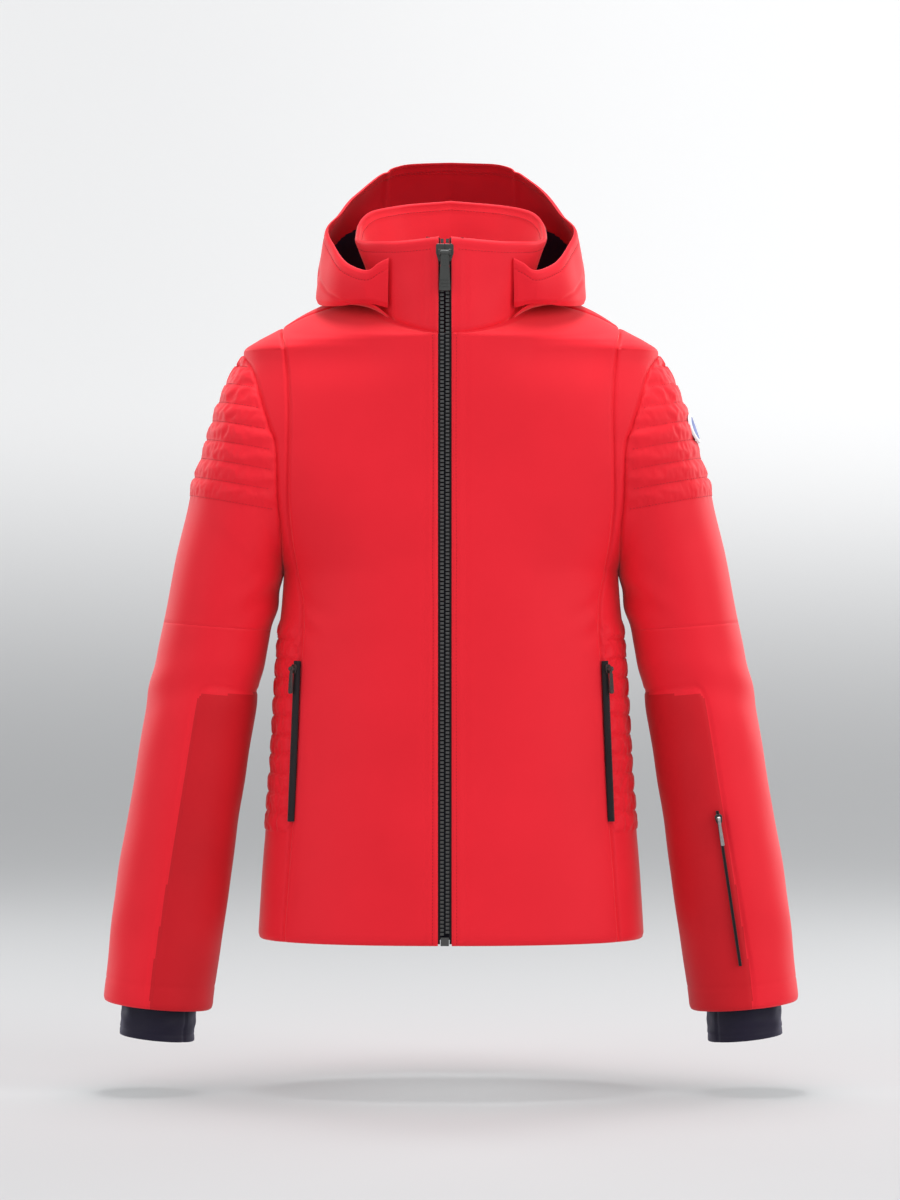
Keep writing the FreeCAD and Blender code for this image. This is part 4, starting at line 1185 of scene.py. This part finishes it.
def badge():
    out = np.array([0.93, -0.18, 0.33])
    out /= np.linalg.norm(out)
    centre = (np.array(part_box("sleeve_badge")[0]) + np.array(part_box("sleeve_badge")[1])) / 2 / MM
    side = np.cross(out, [0, 0, 1.0])
    side /= np.linalg.norm(side)
    up = np.cross(side, out)
    radii = [0.0, 4.0, 8.0, 11.2, 11.5, 12.2, 14.2, 15.0, 15.0]
    heights = [1.0, 0.95, 0.75, 0.45, 0.8, 0.95, 0.7, 0.2, -1.2]
    turn = np.linspace(0, 2 * math.pi, 64, endpoint=False)
    rings = []
    for radius, height in zip(radii, heights):
        sag = -0.0085 * (radius * np.sin(turn)) ** 2
        rings.append(
            centre + side * (radius * np.sin(turn))[:, None] + up * (radius * np.cos(turn))[:, None]
            + out * (height + sag)[:, None]
        )
    points = np.array(rings)
    builder = Builder()
    builder.grid(points, True, not orientation(points, np.broadcast_to(out, points.shape)))
    builder.marks = [1 if i < 4 * 64 else 0 for i in range(len(builder.marks))]
    piece = builder.piece("arm_badge", [BADGE_RIM, BADGE_FACE], None, "badge")
    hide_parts("sleeve_badge")
    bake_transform(piece)


def hanger_loop():
    """A narrow woven tape, sewn to the collar at both ends and bowed forward between them."""
    low, high = (np.array(c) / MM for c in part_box("hanger_loop"))
    turn = np.linspace(0, math.pi, 60)
    x = (low[0] + high[0]) / 2 + (high[0] - low[0]) / 2 * np.cos(turn)
    y = high[1] - (high[1] - low[1]) * np.abs(np.sin(turn)) ** 0.7
    rows = np.linspace(low[2], high[2], 14)
    points = np.array([[(a, b, z) for a, b in zip(x, y)] for z in rows])
    normals = outward_normals(points, [0, high[1], rows.mean()])
    piece = sheet_piece("hanging_loop", [TAPE], "shell", "loop_tape", points, normals, 1.2)
    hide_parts("hanger_loop")


def hidden_layers():
    """The storm flap behind the zip, the hem's facing and the pocket bags."""
    levels = levels_between(-598, 20, 8.0)
    angles = np.stack([angle_of(levels, ZIP_X + x, False) for x in np.linspace(-26, 26, 16)], axis=1)
    points = torso_grid(levels, angles, False)
    points[..., 1] += 8.8
    points[..., 1] += 0.5 * ripple(points, 50, 91)
    normals = np.zeros_like(points)
    normals[..., 1] = -1
    piece = sheet_piece("flap_behind_zip", [NAVY], "shell", "shell_fabric", points, normals, 1.4)
    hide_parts("storm_flap")
    builder = Builder()
    levels = levels_between(-602, -571, 2.5)
    for back in (False, True):
        end = angle_of(levels, 18.0, False)
        for hand in (1.0, -1.0):
            stop = end if not back else np.full_like(end, math.pi / 2)
            angles = stop[:, None] * np.linspace(0, 1, 70)[None, :]
            points = torso_grid(levels, angles, back)
            points[..., 0] *= hand
            normals = outward_normals(points, [0, 0, -590.0])
            points = points - normals * (2.9 + 0.3 * ripple(points, 30, 93))[..., None]
            sheet_solid(builder, points, normals, 0.9)
    piece = builder.piece("hem_band", [SHELL], "shell", "shell_fabric")
    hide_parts("hem_facing")
    for name, hand in SIDES:
        levels = levels_between(-531, -318, 6.0)
        low = angle_of(levels, 140.0, False)
        high = angle_of(levels, 42.0, False)
        angles = spread(low, high, np.linspace(0, 1, 30))
        points = torso_grid(levels, angles, False)
        points[..., 0] *= hand
        normals = outward_normals(points, [0, 0, -400.0])
        points = points - normals * (8.2 + 0.7 * ripple(points, 45, 95))[..., None]
        piece = sheet_piece(f"hand_pocket_{name}", [NAVY], "shell", "lining_fabric", points, normals, 1.2)
        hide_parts(f"pocket_bag_{name}")


# Stage, light and camera ---------------------------------------------------------------------------

def stage():
    """A round studio cove: flat floor that curves up into a wall on every side. Its surface glows as painted
    light, dim on the floor and brighter up the wall and towards +X.
    """
    floor_level, reach, radius, top = -0.754, 8.0, 3.0, 3.6
    profile = [(0.02, floor_level), (1.5, floor_level), (3.2, floor_level)]
    for i in range(25):
        turn = math.pi / 2 * i / 24
        rise = radius - radius * math.cos(turn)
        profile.append((reach - radius + radius * math.sin(turn), floor_level + rise))
    profile.append((reach, top))
    turns = np.linspace(0, 2 * math.pi, 96, endpoint=False)
    rows = np.array([[(r * math.cos(t), r * math.sin(t), z) for t in turns] for r, z in profile]) / MM
    builder = Builder()
    builder.grid(rows, True)
    builder.faces.append(tuple(range(95, -1, -1)))
    builder.marks.append(0)
    made = Surface("backdrop_painted_glow")
    mottle = made.add("TexNoise", "Fac", {"Scale": 0.5})
    place = made.add("TexCoord", "Object", {})
    # painted light: emission strength grows from the floor up the wall and towards +X, standing in for light
    # falling on the backdrop
    painted_glows = []
    for axis, low, high, dim, bright in (("Z", -0.75, 0.3, 0.13, 0.57), ("X", -1.3, 1.3, 1.0, 1.26)):
        run = made.add("SeparateXYZ", axis, {"Vector": place})
        span = {"Value": run, "From Min": low, "From Max": high, "To Min": dim, "To Max": bright}
        painted_glows.append(made.add("MapRange", "Result", span, interpolation_type="SMOOTHSTEP"))
    made.feed(made.shader, {
        "Base Color": made.ramp(mottle, (0.44, 0.445, 0.45), (0.47, 0.472, 0.475)),
        "Roughness": 0.9,
        "Specular IOR Level": 0.1,
        # painted light: the backdrop glows white, its strength the product of the two painted gradients above
        "Emission Color": (1.0, 1.0, 1.0, 1),
        "Emission Strength": made.add("Math", "Value", {0: painted_glows[0], 1: painted_glows[1]}, operation="MULTIPLY"),
    })
    floor = builder.piece("floor", [made.material], None, None)


def area_light(name, place, target, size, power_watts, colour=(1, 1, 1)):
    light = bpy.data.lights.new(name, "AREA")
    light.shape = "RECTANGLE"
    light.size, light.size_y = size
    light.energy = power_watts
    light.color = colour
    obj = bpy.data.objects.new(name, light)
    obj.location = place
    obj.rotation_euler = (Vector(target) - Vector(place)).to_track_quat("-Z", "Y").to_euler()
    bpy.context.scene.collection.objects.link(obj)


def lights():
    area_light("key", (3.0, -1.9, 1.3), (0, 0, -0.25), (1.6, 2.4), 52)
    area_light("fill", (-3.0, -1.9, 1.0), (0, 0, -0.25), (1.6, 2.4), 27)
    area_light("front", (0.2, -3.6, 1.8), (0, 0, -0.2), (2.6, 1.4), 6)
    area_light("top", (0, 0.1, 1.9), (0, 0, -0.3), (0.6, 1.2), 38)
    area_light("rim_left", (-2.0, 1.7, 0.3), (0, 0, -0.3), (0.8, 2.0), 17)
    area_light("rim_right", (2.0, 1.7, 0.3), (0, 0, -0.3), (0.8, 2.0), 22)
    world = bpy.data.worlds.new("soft_sky")
    world.use_nodes = True
    world.node_tree.nodes["Background"].inputs["Color"].default_value = (0.93, 0.96, 1.0, 1)
    world.node_tree.nodes["Background"].inputs["Strength"].default_value = 0.42
    bpy.context.scene.world = world


def camera():
    data = bpy.data.cameras.new("camera")
    data.sensor_fit = "VERTICAL"
    data.sensor_height = 24.0
    data.lens = 24.0 * 4.0 / 1.176
    obj = bpy.data.objects.new("camera", data)
    obj.location = (-0.001, -4.0, -0.2744)
    obj.rotation_euler = (math.pi / 2, 0, 0)
    bpy.context.scene.collection.objects.link(obj)
    bpy.context.scene.camera = obj


bpy.context.scene.view_settings.view_transform = "Standard"
camera()
stage()
lights()
collar()
hood()
main_zip()
small_zips()
badge()
hanger_loop()
hidden_layers()
for side_name, side_hand in SIDES:
    front_panel(side_name, side_hand)
    side_piece(side_name, side_hand, False)
    side_piece(side_name, side_hand, True)
    upper_sleeve(side_name, side_hand)
    lower_sleeve(side_name, side_hand)
    gaiter(side_name, side_hand)
back_piece()
body_lining()
